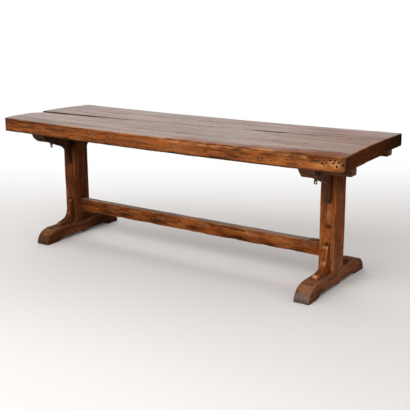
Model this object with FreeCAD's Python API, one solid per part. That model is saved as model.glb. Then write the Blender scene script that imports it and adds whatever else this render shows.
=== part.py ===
import FreeCAD, Part
import os
from collections import namedtuple
from math import atan, cos, pi, sin

# Trestle table of old plank-built kind: a thick top of two tapering planks on two
# pegged trestles, tied together low down by one stretcher with wedged through tenons.
# Millimetres. X runs along the top, Y from front to back, Z up from the floor.
# Sizes are taken from a working origin on the floor, midway between the front and back faces
# of the posts. The finished pieces are moved so that the origin is under the middle of the
# outline of the top, whose ends were cut by hand and are neither straight nor square.

Vec = FreeCAD.Vector
X_AXIS = Vec(1, 0, 0)
Y_AXIS = Vec(0, 1, 0)
Z_AXIS = Vec(0, 0, 1)
LEFT, RIGHT = -1, 1
FRONT, BACK = -1, 1
SIDE_NAMES = {LEFT: "left", RIGHT: "right"}
FACE_NAMES = {FRONT: "front", BACK: "back"}

# Top
table_height = 760.0
front_plank_thickness = 78.0
back_plank_thickness = 67.0
front_edge = 363.5            # origin to the straight front edge
back_edge_left = 333.0        # origin to the back edge, at its left end
back_edge_right = 383.0
front_left_end = 1102.0       # origin to the front corner of the left end
front_right_end = 1097.0
front_seam_left_end = 1088.0  # origin to the front plank's corner at the seam
front_seam_right_end = 1070.0
back_seam_left_end = 1107.0   # origin to the back plank's corner at the seam
back_seam_right_end = 1069.0
back_left_end = 1058.0        # origin to the back corner of the left end
back_right_end = 1067.0
front_left_bulge = 26.0       # swell of a plank's end beyond a straight cut
back_left_bulge = 21.0
front_right_bulge = -8.0      # a hollow
back_right_bulge = 1.0
left_overhang = 218.0         # front corner of the left end to the middle of the left post
right_overhang = 226.0        # front corner of the right end to the middle of the right post
plank_arris = 6.0
seam_gap_left = 5.0
seam_gap_right = 2.0
seam_left = -45.0             # middle of the seam across the table, at the left end
seam_right = 152.0

# Bearers under the top
bearer_length = 648.0
bearer_width = 86.0
bearer_height = 60.0          # under the thicker front plank
bearer_lip = 5.0              # upright part of each end above its splay
bearer_splay = 46.0           # length of the slope under each end
bearer_step_play = 8.0        # seam to the step that lifts the thinner back plank

# Posts
post_width = 86.0             # along the table
post_depth = 120.0            # across the table
post_chamfer = 3.0
tenon_cheek = 27.0            # wood beside the tenons at each end of a post
tenon_shoulder = 16.0         # wood in front of them and behind them
bearer_tenon_length = 46.0
foot_tenon_lift = 8.0         # end of the lower tenon above the floor

# Feet
foot_length = 652.0
foot_width = 86.0
foot_height = 82.0
foot_step = 4.0               # small step where the flat top meets the rounded nose
foot_pad = 96.0
foot_arch = 18.0
foot_ogee = 34.0              # run of the curve from each pad up to the arch

# Stretcher and its wedges
stretcher_height = 74.0
stretcher_thickness = 50.0
stretcher_level = 152.0
stretcher_shoulder = 6.0
stretcher_sunk = 0.5          # end of each tenon inside the outer face of its post
stretcher_chamfer = 3.0
left_wedge_thick = 21.0       # at the outer face of the post
left_wedge_tip = 16.0
left_wedge_reach = 62.0       # from the outer face inwards
right_wedge_thick = 15.0
right_wedge_tip = 2.0
right_wedge_reach = 164.0
wedge_sunk = 0.5
wedge_peg_diameter = 17.0
wedge_peg_rise = 12.0         # its middle above the stretcher
wedge_peg_proud = 1.5

# Knee brackets: a sloping arm and a sloping shank that meet in a hollow corner
bracket_thickness = 30.0
bracket_chamfer = 3.0
lower_bracket_height = 145.0
lower_bracket_reach = 124.0
lower_bracket_toe = 16.0
lower_bracket_end = 15.0
lower_corner_height = 38.0
lower_corner_reach = 40.0
lower_corner_radius = 50.0
upper_bracket_drop = 168.0
upper_bracket_reach = 158.0
upper_bracket_toe = 15.0
upper_bracket_end = 16.0
upper_corner_drop = 64.0
upper_corner_reach = 30.0
upper_corner_radius = 55.0

# Cleats under the overhanging ends
cleat_width = 50.0
cleat_depth = 40.0
cleat_middle = 28.0           # middle between a pair of cleats, behind the origin
left_cleat_spread = 178.0     # from there to the middle of each cleat
right_cleat_spread = 245.0
cleat_inset = 12.0
cleat_round = 9.0

# Pegs, wedges of the feet and nails
top_peg_diameter = 12.0
top_peg_depth = 40.0
top_peg_length_shares = (-0.40, -0.26, 0.28, 0.40)
top_peg_width_share = 0.31
bearer_peg_diameter = 12.0
bearer_peg_width_share = 0.25
foot_wedge_thick = 7.0
foot_wedge_tip = 2.0
foot_wedge_length = 44.0
foot_wedge_width_share = 0.25
nail_diameter = 5.0
nail_head_diameter = 11.0
nail_head_height = 3.0
nail_bite = 28.0              # length of a nail beyond the piece that it holds
lower_arm_nail_share = 0.84
lower_shank_nail_share = 0.86
upper_arm_nail_share = 0.60
upper_shank_nail_share = 0.92
cleat_nail_shares = (0.28, 0.72)

# Oval iron rings under the front upper brackets
staple_wire = 4.0
staple_span = 13.0
staple_drop = 10.0            # middle of its lowest wire below the bracket
staple_leg = 14.0
staple_reach_share = 0.925
ring_wire = 4.0
ring_inside_width = 9.0
ring_inside_height = 16.0
ring_play = 0.3

# Fits
joint_gap = 0.2
overrun = 5.0                 # cuts run this far past the faces they open

# Places worked out from the sizes above
plank_thickness = {FRONT: front_plank_thickness, BACK: back_plank_thickness}
top_underside = {face: table_height - plank_thickness[face] for face in (FRONT, BACK)}
bearer_underside = top_underside[FRONT] - bearer_height
stretcher_top = stretcher_level + stretcher_height
post_x = {LEFT: left_overhang - front_left_end, RIGHT: front_right_end - right_overhang}
stretcher_tenon = stretcher_thickness - 2 * stretcher_shoulder
wedge_thick = {LEFT: left_wedge_thick, RIGHT: right_wedge_thick}
wedge_tip = {LEFT: left_wedge_tip, RIGHT: right_wedge_tip}
wedge_reach = {LEFT: left_wedge_reach, RIGHT: right_wedge_reach}
cleat_spread = {LEFT: left_cleat_spread, RIGHT: right_cleat_spread}
nail_radius = nail_diameter / 2
nail_head_radius = nail_head_diameter / 2

# Corners of each plank in plan: outer edge and seam, at the left and at the right end.
plank_corners = {
    FRONT: {
        LEFT: ((-front_left_end, -front_edge), (-front_seam_left_end, seam_left - seam_gap_left / 2)),
        RIGHT: ((front_right_end, -front_edge), (front_seam_right_end, seam_right - seam_gap_right / 2)),
    },
    BACK: {
        LEFT: ((-back_left_end, back_edge_left), (-back_seam_left_end, seam_left + seam_gap_left / 2)),
        RIGHT: ((back_right_end, back_edge_right), (back_seam_right_end, seam_right + seam_gap_right / 2)),
    },
}
end_bulge = {
    (FRONT, LEFT): front_left_bulge,
    (FRONT, RIGHT): front_right_bulge,
    (BACK, LEFT): back_left_bulge,
    (BACK, RIGHT): back_right_bulge,
}

# A knee bracket stands on a seat and rises from it up or down along the post.
Knee = namedtuple("Knee", "seat up reach toe rise end corner_reach corner_rise radius arm_nail shank_nail")
lower_knee = Knee(foot_height, 1, lower_bracket_reach, lower_bracket_toe, lower_bracket_height,
                  lower_bracket_end, lower_corner_reach, lower_corner_height, lower_corner_radius,
                  lower_arm_nail_share, lower_shank_nail_share)
upper_knee = Knee(bearer_underside, -1, upper_bracket_reach, upper_bracket_toe, upper_bracket_drop,
                  upper_bracket_end, upper_corner_reach, upper_corner_drop, upper_corner_radius,
                  upper_arm_nail_share, upper_shank_nail_share)


def box(x_low, x_high, y_low, y_high, z_low, z_high):
    """A block between two corners."""
    return Part.makeBox(x_high - x_low, y_high - y_low, z_high - z_low, Vec(x_low, y_low, z_low))


def line(start, end):
    return Part.LineSegment(start, end).toShape()


def arc(start, middle, end):
    return Part.Arc(start, middle, end).toShape()


def prism(edges, direction):
    """A closed outline pushed along a direction."""
    return Part.Face(Part.Wire(edges)).extrude(direction)


def polygon(points, direction):
    """A straight-sided outline pushed along a direction."""
    return Part.Face(Part.makePolygon(points + points[:1])).extrude(direction)


def bored(shape, tools):
    """The shape with every tool cut out of it."""
    return shape.cut(Part.makeCompound(tools))


def peg(centre, direction, diameter, length):
    """A round peg that starts at a point and runs along a direction."""
    return Part.makeCylinder(diameter / 2, length, centre, direction)


def peg_hole(centre, direction, diameter, length):
    """The hole of a peg, open at its start."""
    start = centre - direction * overrun
    return Part.makeCylinder(diameter / 2 + joint_gap, length + overrun + joint_gap, start, direction)


def nail(seat, direction, length):
    """A forged nail: its low conical head stands outside the seat and its shank runs inwards."""
    shank = Part.makeCylinder(nail_radius, length, seat, direction)
    head = Part.makeCone(nail_head_radius, nail_radius, nail_head_height, seat, -direction)
    return shank.fuse(head).removeSplitter()


def nail_hole(seat, direction, length):
    """The hole of a nail, with room for its head outside the seat."""
    shank = Part.makeCylinder(nail_radius + joint_gap, length + joint_gap, seat, direction)
    pocket_length = nail_head_height + nail_head_diameter
    pocket = Part.makeCylinder(nail_head_radius + joint_gap, pocket_length, seat, -direction)
    return shank.fuse(pocket)


def end_x(face, side, y):
    """Place of a straight cut across a plank's end at a distance across the table."""
    (outer_x, outer_y), (seam_x, seam_y) = plank_corners[face][side]
    return outer_x + (seam_x - outer_x) * (y - outer_y) / (seam_y - outer_y)


def seam_at(x):
    """Middle of the seam across the table at a distance along it."""
    share = (x + front_seam_left_end) / (front_seam_left_end + front_seam_right_end)
    return seam_left + (seam_right - seam_left) * share


def plank(face):
    """One plank of the top, before its holes, its ends swelling or hollow."""
    outer, seam, swell = {}, {}, {}
    for side in (LEFT, RIGHT):
        outer[side], seam[side] = [Vec(x, y, top_underside[face]) for x, y in plank_corners[face][side]]
        swell[side] = (outer[side] + seam[side]) / 2 + X_AXIS * side * end_bulge[face, side]
    outline = [
        line(outer[LEFT], outer[RIGHT]),
        arc(outer[RIGHT], swell[RIGHT], seam[RIGHT]),
        line(seam[RIGHT], seam[LEFT]),
        arc(seam[LEFT], swell[LEFT], outer[LEFT]),
    ]
    solid = prism(outline, Z_AXIS * plank_thickness[face])
    seam_side = max(abs(seam[LEFT].y), abs(seam[RIGHT].y)) + plank_arris
    rounded = []
    for edge in solid.Edges:
        middle = edge.CenterOfMass
        upright = abs(edge.Vertexes[0].Z - edge.Vertexes[-1].Z) > plank_arris
        along_seam = not upright and abs(middle.x) < left_overhang and abs(middle.y) < seam_side
        if not along_seam and not (upright and abs(middle.y) < seam_side):
            rounded.append(edge)
    return solid.makeFillet(plank_arris, rounded)


def top_pegs(side):
    """Pegs driven up through a bearer into the planks."""
    pegs = []
    for place, share in enumerate(top_peg_length_shares):
        stagger = bearer_width * top_peg_width_share * (-1) ** place
        start = Vec(post_x[side] + stagger, bearer_length * share, bearer_underside)
        pegs.append((start, Z_AXIS, top_peg_diameter, bearer_height + top_peg_depth))
    return pegs


def bearer_pegs(side):
    """Pegs through a bearer and the upper tenon of its post."""
    tenon_width = post_depth - 2 * tenon_shoulder
    height = bearer_underside + bearer_tenon_length / 2
    pegs = []
    for face in (FRONT, BACK):
        start = Vec(post_x[side] - bearer_width / 2, face * tenon_width * bearer_peg_width_share, height)
        pegs.append((start, X_AXIS, bearer_peg_diameter, bearer_width))
    return pegs


def wedge_peg(side):
    """The peg in the front cheek of a post that bears on the wedge of the stretcher."""
    cheek = (post_depth - stretcher_tenon) / 2
    start = Vec(post_x[side], -post_depth / 2 - wedge_peg_proud, stretcher_top + wedge_peg_rise)
    return (start, Y_AXIS, wedge_peg_diameter, cheek + wedge_peg_proud)


def arm_depth(knee, reach):
    """Depth of the arm of a knee at a distance from the post."""
    slope = (knee.corner_rise - knee.toe) / (knee.reach - knee.corner_reach)
    return knee.toe + slope * (knee.reach - reach)


def shank_depth(knee, rise):
    """Depth of the shank of a knee at a distance from its seat."""
    slope = (knee.corner_reach - knee.end) / (knee.rise - knee.corner_rise)
    return knee.end + slope * (knee.rise - rise)


def knee_place(knee, side, face, reach, rise):
    """The point in the middle of a knee's thickness at a distance from its post and its seat."""
    return Vec(post_x[side], face * (post_depth / 2 + reach), knee.seat + knee.up * rise)


def knee_nails(knee, side, face):
    """Seats of the nails of a knee, sunk into its sloping faces: the first into the post."""
    rise = knee.rise * knee.shank_nail
    into_post = shank_depth(knee, rise + nail_head_radius) - nail_head_height
    reach = knee.reach * knee.arm_nail
    into_seat = arm_depth(knee, reach + nail_head_radius) - nail_head_height
    return [
        (knee_place(knee, side, face, into_post, rise), Y_AXIS * -face, into_post + nail_bite),
        (knee_place(knee, side, face, reach, into_seat), Z_AXIS * -knee.up, into_seat + nail_bite),
    ]


def cleat_y(side, face):
    """Middle of a cleat across the table."""
    return cleat_middle + face * cleat_spread[side]


def cleat_span(side, face):
    """Ends of a cleat along X, from its bearer to just inside the end of the top."""
    inner = post_x[side] + side * (bearer_width / 2 + joint_gap)
    outer = end_x(face, side, cleat_y(side, face) + cleat_width / 2) - side * cleat_inset
    return min(inner, outer), max(inner, outer)


def cleat_nails(side, face):
    """Nails driven up through a cleat into the plank above."""
    low, high = cleat_span(side, face)
    seats = []
    for share in cleat_nail_shares:
        seat = Vec(low + (high - low) * share, cleat_y(side, face), top_underside[face] - cleat_depth)
        seats.append((seat, Z_AXIS, cleat_depth + nail_bite))
    return seats


def plank_with_holes(face):
    tools = []
    for side in (LEFT, RIGHT):
        tools += [peg_hole(*place) for place in top_pegs(side) if place[0].y * face > 0]
        tools += [nail_hole(*place) for place in cleat_nails(side, face)]
    return bored(plank(face), tools)


def tenon_edges(side):
    """Corners, across and along, of the tenons at both ends of a post."""
    along = post_width / 2 - tenon_cheek
    across = post_depth / 2 - tenon_shoulder
    return post_x[side] - along, post_x[side] + along, -across, across


def mortise(side, z_low, z_high):
    """The hole for a post's tenon, with its joint gap."""
    x_low, x_high, y_low, y_high = tenon_edges(side)
    return box(x_low - joint_gap, x_high + joint_gap, y_low - joint_gap, y_high + joint_gap, z_low, z_high)


def bearer(side):
    """Cross bearer: stepped above for the two planks, both ends splayed under."""
    half = bearer_length / 2
    x_low = post_x[side] - bearer_width / 2
    step = seam_at(post_x[side]) + bearer_step_play
    outline = [
        Vec(x_low, -half, top_underside[FRONT]),
        Vec(x_low, step, top_underside[FRONT]),
        Vec(x_low, step, top_underside[BACK]),
        Vec(x_low, half, top_underside[BACK]),
        Vec(x_low, half, top_underside[BACK] - bearer_lip),
        Vec(x_low, half - bearer_splay, bearer_underside),
        Vec(x_low, bearer_splay - half, bearer_underside),
        Vec(x_low, -half, top_underside[FRONT] - bearer_lip),
    ]
    solid = polygon(outline, X_AXIS * bearer_width)
    tools = [mortise(side, bearer_underside - overrun, bearer_underside + bearer_tenon_length + joint_gap)]
    tools += [peg_hole(*place) for place in top_pegs(side)]
    for start, direction, diameter, length in bearer_pegs(side):
        tools.append(peg_hole(start, direction, diameter, length + overrun))
    for face in (FRONT, BACK):
        tools += [nail_hole(*place) for place in knee_nails(upper_knee, side, face)[1:]]
    return bored(solid, tools)


def wedge_height(side, inwards):
    """Thickness of a wedge at a distance inwards from the outer face of its post."""
    fall = (wedge_thick[side] - wedge_tip[side]) / wedge_reach[side]
    return wedge_thick[side] - fall * inwards


def stretcher_mortise(side):
    """Through mortise of a post, its roof sloping with the wedge."""
    outer = post_x[side] + side * post_width / 2
    near = -overrun
    far = post_width + overrun
    floor = stretcher_level - joint_gap
    half = stretcher_tenon / 2 + joint_gap
    roof = stretcher_top + 2 * joint_gap
    points = [
        Vec(outer - side * near, -half, floor),
        Vec(outer - side * far, -half, floor),
        Vec(outer - side * far, -half, roof + wedge_height(side, far)),
        Vec(outer - side * near, -half, roof + wedge_height(side, near)),
    ]
    return polygon(points, Y_AXIS * 2 * half)


def foot_wedges(side):
    """The two wedges that spread the lower tenon of a post."""
    x_low, x_high, y_low, y_high = tenon_edges(side)
    wedges = []
    for face in (FRONT, BACK):
        middle = face * (y_high - y_low) * foot_wedge_width_share
        points = [
            Vec(x_low, middle - foot_wedge_thick / 2, foot_tenon_lift),
            Vec(x_low, middle + foot_wedge_thick / 2, foot_tenon_lift),
            Vec(x_low, middle + foot_wedge_tip / 2, foot_tenon_lift + foot_wedge_length),
            Vec(x_low, middle - foot_wedge_tip / 2, foot_tenon_lift + foot_wedge_length),
        ]
        wedges.append(polygon(points, X_AXIS * (x_high - x_low)))
    return wedges


def post(side):
    """Upright with chamfered corners, tenoned above and below and mortised for the stretcher."""
    x_low, x_high, y_low, y_high = tenon_edges(side)
    shaft = box(post_x[side] - post_width / 2, post_x[side] + post_width / 2,
                -post_depth / 2, post_depth / 2, foot_height, bearer_underside)
    corners = [edge for edge in shaft.Edges
               if abs(edge.Vertexes[0].Z - edge.Vertexes[-1].Z) > post_chamfer]
    shaft = shaft.makeChamfer(post_chamfer, corners)
    upper = box(x_low, x_high, y_low, y_high, bearer_underside, bearer_underside + bearer_tenon_length)
    lower = box(x_low, x_high, y_low, y_high, foot_tenon_lift, foot_height)
    tools = [stretcher_mortise(side), peg_hole(*wedge_peg(side))]
    tools += foot_wedges(side)
    tools += [peg_hole(*place) for place in bearer_pegs(side)]
    for face in (FRONT, BACK):
        tools += [nail_hole(*place) for place in knee_nails(lower_knee, side, face)[:1]]
        tools += [nail_hole(*place) for place in knee_nails(upper_knee, side, face)[:1]]
    return bored(shaft.fuse([upper, lower]).removeSplitter(), tools)


def ogee(x, start_y, direction, rise, run):
    """Two tangent arcs that climb from the floor to a height, level at both ends."""
    radius = (run ** 2 + rise ** 2) / (4 * rise)
    half_turn = atan(rise / run)
    low_run, low_rise = radius * sin(half_turn), radius * (1 - cos(half_turn))
    start = Vec(x, start_y, 0)
    middle = Vec(x, start_y + direction * run / 2, rise / 2)
    end = Vec(x, start_y + direction * run, rise)
    low = Vec(x, start_y + direction * low_run, low_rise)
    high = Vec(x, start_y + direction * (run - low_run), rise - low_rise)
    return start, low, middle, high, end


def foot(side):
    """Sledge foot: round noses with a small step, flat pads and a low arch between them."""
    half = foot_length / 2
    nose = foot_height - foot_step
    slant = nose * cos(pi / 4)
    x_low = post_x[side] - foot_width / 2
    front = ogee(x_low, foot_pad - half, 1, foot_arch, foot_ogee)
    back = ogee(x_low, half - foot_pad, -1, foot_arch, foot_ogee)

    def at(y, z):
        return Vec(x_low, y, z)

    outline = [
        line(at(-half, 0), front[0]),
        arc(*front[:3]),
        arc(*front[2:]),
        line(front[4], back[4]),
        arc(back[4], back[3], back[2]),
        arc(back[2], back[1], back[0]),
        line(back[0], at(half, 0)),
        arc(at(half, 0), at(half - nose + slant, slant), at(half - nose, nose)),
        line(at(half - nose, nose), at(half - nose, foot_height)),
        line(at(half - nose, foot_height), at(nose - half, foot_height)),
        line(at(nose - half, foot_height), at(nose - half, nose)),
        arc(at(nose - half, nose), at(nose - half - slant, slant), at(-half, 0)),
    ]
    solid = prism(outline, X_AXIS * foot_width)
    tools = [mortise(side, -overrun, foot_height + overrun)]
    for face in (FRONT, BACK):
        tools += [nail_hole(*place) for place in knee_nails(lower_knee, side, face)[1:]]
    return bored(solid, tools)


def stretcher():
    """Long rail with chamfered edges and a shouldered through tenon at each end."""
    inner_left = post_x[LEFT] + post_width / 2
    inner_right = post_x[RIGHT] - post_width / 2
    half = stretcher_thickness / 2
    rail = box(inner_left, inner_right, -half, half, stretcher_level, stretcher_top)
    long_edges = [edge for edge in rail.Edges if edge.Length > stretcher_height + stretcher_thickness]
    rail = rail.makeChamfer(stretcher_chamfer, long_edges)
    reach = post_width - stretcher_sunk
    tenon = box(inner_left - reach, inner_right + reach, -stretcher_tenon / 2, stretcher_tenon / 2,
                stretcher_level, stretcher_top)
    return rail.fuse(tenon).removeSplitter()


def stretcher_wedge(side):
    """Long wedge driven from outside between a stretcher tenon and the roof of its mortise."""
    outer = post_x[side] + side * post_width / 2
    base = stretcher_top + joint_gap
    half = stretcher_tenon / 2
    head = wedge_sunk
    tip = wedge_reach[side]
    points = [
        Vec(outer - side * head, -half, base),
        Vec(outer - side * tip, -half, base),
        Vec(outer - side * tip, -half, base + wedge_height(side, tip)),
        Vec(outer - side * head, -half, base + wedge_height(side, head)),
    ]
    return polygon(points, Y_AXIS * 2 * half)


def bracket(knee, side, face):
    """Knee bracket: sloping arm and shank, a hollow corner between them and chamfered ends."""
    outline = [(0, 0), (knee.reach, 0), (knee.reach, knee.toe), (knee.corner_reach, knee.corner_rise),
               (knee.end, knee.rise), (0, knee.rise)]
    back = X_AXIS * bracket_thickness / 2
    solid = polygon([knee_place(knee, side, face, *point) - back for point in outline], back * 2)

    def edges_at(*points):
        places = [knee_place(knee, side, face, *point) for point in points]
        return [edge for edge in solid.Edges
                if min((edge.CenterOfMass - place).Length for place in places) < bracket_chamfer]

    solid = solid.makeFillet(knee.radius, edges_at(outline[3]))
    solid = solid.makeChamfer(bracket_chamfer, edges_at(outline[2], outline[4]))
    tools = [nail_hole(*place) for place in knee_nails(knee, side, face)]
    if knee is upper_knee and face == FRONT:
        tools += staple_legs(side, staple_wire / 2 + joint_gap)
    return bored(solid, tools)


def staple_place(side):
    """Middle of the lowest wire of a staple, under the toe of a front upper bracket."""
    reach = upper_bracket_reach * staple_reach_share
    return knee_place(upper_knee, side, FRONT, reach, arm_depth(upper_knee, reach) + staple_drop)


def staple_legs(side, radius):
    """The two straight legs of a staple, up into the bracket."""
    low = staple_place(side)
    bend = staple_span / 2
    length = staple_drop - bend + staple_leg
    starts = [low + Vec(0, face * bend, bend) for face in (FRONT, BACK)]
    return [Part.makeCylinder(radius, length, start, Z_AXIS) for start in starts]


def cleat(side, face):
    """Short batten under an overhanging end, its lower outer edge rounded."""
    low, high = cleat_span(side, face)
    middle = cleat_y(side, face)
    seat = top_underside[face]
    solid = box(low, high, middle - cleat_width / 2, middle + cleat_width / 2, seat - cleat_depth, seat)
    outer = low if side == LEFT else high
    worn = [edge for edge in solid.Edges
            if abs(edge.CenterOfMass.x - outer) < cleat_round
            and edge.CenterOfMass.z < seat - cleat_depth / 2 - cleat_round]
    solid = solid.makeFillet(cleat_round, worn)
    return bored(solid, [nail_hole(*place) for place in cleat_nails(side, face)])


def ring_staple(side):
    """Forged staple: one wire bent into a half ring below two legs."""
    low = staple_place(side)
    bend = staple_span / 2
    top = staple_drop - bend + staple_leg
    ends = {face: low + Vec(0, face * bend, bend) for face in (FRONT, BACK)}
    path = Part.Wire([
        line(ends[FRONT] + Z_AXIS * top, ends[FRONT]),
        arc(ends[FRONT], low, ends[BACK]),
        line(ends[BACK], ends[BACK] + Z_AXIS * top),
    ])
    section = Part.Wire(Part.makeCircle(staple_wire / 2, ends[FRONT] + Z_AXIS * top, Z_AXIS))
    return path.makePipeShell([section], True, True)


def drop_ring(side):
    """Oval iron ring hanging on its staple."""
    bend = (ring_inside_width + ring_wire) / 2
    straight = ring_inside_height - ring_inside_width
    lift = staple_wire / 2 + ring_play + ring_wire / 2
    upper = staple_place(side) + Z_AXIS * (lift - bend)
    lower = upper - Z_AXIS * straight
    near, far = X_AXIS * -bend, X_AXIS * bend
    path = Part.Wire([
        line(lower + near, upper + near),
        arc(upper + near, upper + Z_AXIS * bend, upper + far),
        line(upper + far, lower + far),
        arc(lower + far, lower - Z_AXIS * bend, lower + near),
    ])
    section = Part.Wire(Part.makeCircle(ring_wire / 2, lower + near, Z_AXIS))
    return path.makePipeShell([section], True, False)


def group(shapes):
    return Part.makeCompound(shapes)


def nodes():
    """Every piece of the table under its own name."""
    pieces = {}
    for face in (FRONT, BACK):
        pieces["top_plank_" + FACE_NAMES[face]] = plank_with_holes(face)
    pieces["stretcher"] = stretcher()
    for side in (LEFT, RIGHT):
        name = SIDE_NAMES[side]
        pieces["bearer_" + name] = bearer(side)
        pieces["post_" + name] = post(side)
        pieces["foot_" + name] = foot(side)
        pieces["stretcher_wedge_" + name] = stretcher_wedge(side)
        pieces["ring_staple_" + name] = ring_staple(side)
        pieces["drop_ring_" + name] = drop_ring(side)
        pieces["top_pegs_" + name] = group([peg(*place) for place in top_pegs(side)])
        pieces["bearer_pegs_" + name] = group([peg(*place) for place in bearer_pegs(side)])
        pieces["wedge_peg_" + name] = peg(*wedge_peg(side))
        pieces["foot_wedges_" + name] = group(foot_wedges(side))
        bracket_nails = []
        cleat_nail_shapes = []
        for face in (FRONT, BACK):
            place = name + "_" + FACE_NAMES[face]
            pieces["upper_bracket_" + place] = bracket(upper_knee, side, face)
            pieces["lower_bracket_" + place] = bracket(lower_knee, side, face)
            pieces["cleat_" + place] = cleat(side, face)
            for knee in (upper_knee, lower_knee):
                bracket_nails += [nail(*seat) for seat in knee_nails(knee, side, face)]
            cleat_nail_shapes += [nail(*seat) for seat in cleat_nails(side, face)]
        pieces["bracket_nails_" + name] = group(bracket_nails)
        pieces["cleat_nails_" + name] = group(cleat_nail_shapes)
    return pieces


def middle_of_top(pieces):
    """Point on the floor under the middle of the outline of the top."""
    outline = pieces["top_plank_front"].optimalBoundingBox(False, False)
    outline.add(pieces["top_plank_back"].optimalBoundingBox(False, False))
    return Vec(outline.Center.x, outline.Center.y, 0)


os.makedirs("parts", exist_ok=True)
built = nodes()
origin = middle_of_top(built)
print("middle of the top at", origin)
for node, shape in built.items():
    shape.translate(-origin)
    shape.exportStep("parts/" + node + ".step")
    print(node, len(shape.Solids), "solids", round(shape.Volume / 1000), "cm3")
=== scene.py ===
"""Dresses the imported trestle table: worn plank top, pegged trestles, wedged stretcher and iron rings."""
import logging
from dataclasses import dataclass, field, replace
from enum import Enum
from math import cos, pi, radians, sin
from typing import Callable, Iterable, Optional, Sequence, Union

import bmesh
import bpy
from mathutils import Matrix, Vector, noise


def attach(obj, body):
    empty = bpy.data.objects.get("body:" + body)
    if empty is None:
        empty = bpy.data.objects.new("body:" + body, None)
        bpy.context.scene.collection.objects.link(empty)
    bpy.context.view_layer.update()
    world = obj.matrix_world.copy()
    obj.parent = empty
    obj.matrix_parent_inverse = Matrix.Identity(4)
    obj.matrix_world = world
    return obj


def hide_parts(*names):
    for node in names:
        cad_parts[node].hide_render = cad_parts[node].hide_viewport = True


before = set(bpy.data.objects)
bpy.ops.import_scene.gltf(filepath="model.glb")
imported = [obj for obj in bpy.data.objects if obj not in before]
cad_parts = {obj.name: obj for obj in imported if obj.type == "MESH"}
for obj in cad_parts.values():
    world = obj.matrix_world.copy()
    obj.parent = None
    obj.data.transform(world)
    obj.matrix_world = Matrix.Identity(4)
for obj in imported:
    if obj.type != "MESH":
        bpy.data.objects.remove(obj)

LOG = logging.getLogger("trestle_table")
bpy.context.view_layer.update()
TABLE_BODY = "table"
MM = 0.001
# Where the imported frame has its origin, under the middle of the top's outline, in the mm of this script.
ORIGIN = Vector((-12.579306, 9.680410, 0.0))
ALONG, ACROSS, UP = Vector((1, 0, 0)), Vector((0, 1, 0)), Vector((0, 0, 1))
SHARP_TURN = radians(38)     # arrises that turn more are eased
SMOOTH_BELOW = radians(46)   # faces that turn less are shaded as one
FACING = 0.9                 # least cosine between a face's normal and the way that it looks
UNDERSIDE = -0.6             # highest upward part of a normal that counts as looking down
LEVEL, STEEP = 0.97, 0.5     # upward parts of a normal that count as level and as a side
OUTWARD = 0.6                # least part of a normal along the table that counts as an end
FORWARD = -0.3               # highest part of a normal across the table that counts as the front
CUT_TOLERANCE, WELD, WIRE_WELD = 1e-4, 1e-3, 1e-2   # mm
MIX_FACTOR, MIX_A, MIX_B, MIX_RESULT = 0, 6, 7, 2   # sockets of a Mix node for colours
NOISE_MIDDLE = 0.5
WHITE = (1, 1, 1, 1)

Colour = tuple[float, float, float, float]
Pair = tuple[float, float]
Point = tuple[float, float, float]
SocketValue = Union[float, Sequence[float], bpy.types.NodeSocket]


class Named(Enum):
    """A choice whose name is part of the names of CAD nodes or finishes."""

    @property
    def word(self) -> str:
        """Its name in small letters."""
        return self.name.lower()


class Side(Named):
    """Which trestle: the value is its sign along X."""

    LEFT = -1
    RIGHT = 1

    @classmethod
    def of(cls, x: float) -> "Side":
        """The side that a place along the table is on."""
        return cls.LEFT if x < 0 else cls.RIGHT


class Face(Named):
    """Front or back of the table: the value is its sign along Y."""

    FRONT = -1
    BACK = 1


class Grain(Named):
    """The way that the fibres of a member run: the value is the index of the axis."""

    ALONG_TABLE = 0
    ACROSS_TABLE = 1
    UPRIGHT = 2

    def stretch(self, length_mm: float, width_mm: float) -> Vector:
        """Scales a pattern so that it is long with the fibres and narrow across them.

        Args:
            length_mm: size of one feature along the fibres.
            width_mm: size of one feature across them.

        Returns:
            The scale for a Mapping node, in features per metre.
        """
        scale = [1 / (width_mm * MM)] * 3
        scale[self.value] = 1 / (length_mm * MM)
        return Vector(scale)

    def followed_by(self, edge: bmesh.types.BMEdge) -> bool:
        """Whether an edge runs more than 1 mm along the axis."""
        return abs(edge.verts[0].co[self.value] - edge.verts[1].co[self.value]) > 1


class Mask(Enum):
    """Painted masks that a mesh carries for its finish."""

    WEAR = "wear"
    GRIME = "grime"
    END_GRAIN = "end_grain"
    HOLE = "hole"
    DUST = "dust"


class Pattern(Enum):
    """Noise patterns of old wood: length and width of a feature in mm, detail, distortion."""

    FIGURE = (420.0, 30.0, 4.0, 0.9)
    FIBRE = (120.0, 5.0, 2.0, 0.2)       # real fibres are finer, but would not show in the render
    CHECK = (460.0, 11.0, 1.0, 0.4)
    PATINA = (240.0, 150.0, 3.0, 0.3)
    RUB = (38.0, 19.0, 3.0, 0.2)
    SPECK = (26.0, 7.0, 2.0, 0.0)
    STREAK = (640.0, 22.0, 4.0, 0.4)


def clamp(value: float) -> float:
    """Keeps a share between 0 and 1."""
    return min(1.0, max(0.0, value))


def only(items: Iterable, kind: type) -> list:
    """Picks the verts or the edges out of what a mesh operator gives back."""
    return [item for item in items if isinstance(item, kind)]


def linear(hex_code: str) -> Colour:
    """Turns an sRGB hex colour into linear light.

    Args:
        hex_code: six hex digits after a number sign.

    Returns:
        Red, green, blue and a full alpha.
    """
    parts = [int(hex_code[place:place + 2], 16) / 255 for place in (1, 3, 5)]
    light = [part / 12.92 if part <= 0.04045 else ((part + 0.055) / 1.055) ** 2.4 for part in parts]
    return light[0], light[1], light[2], 1.0


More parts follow.
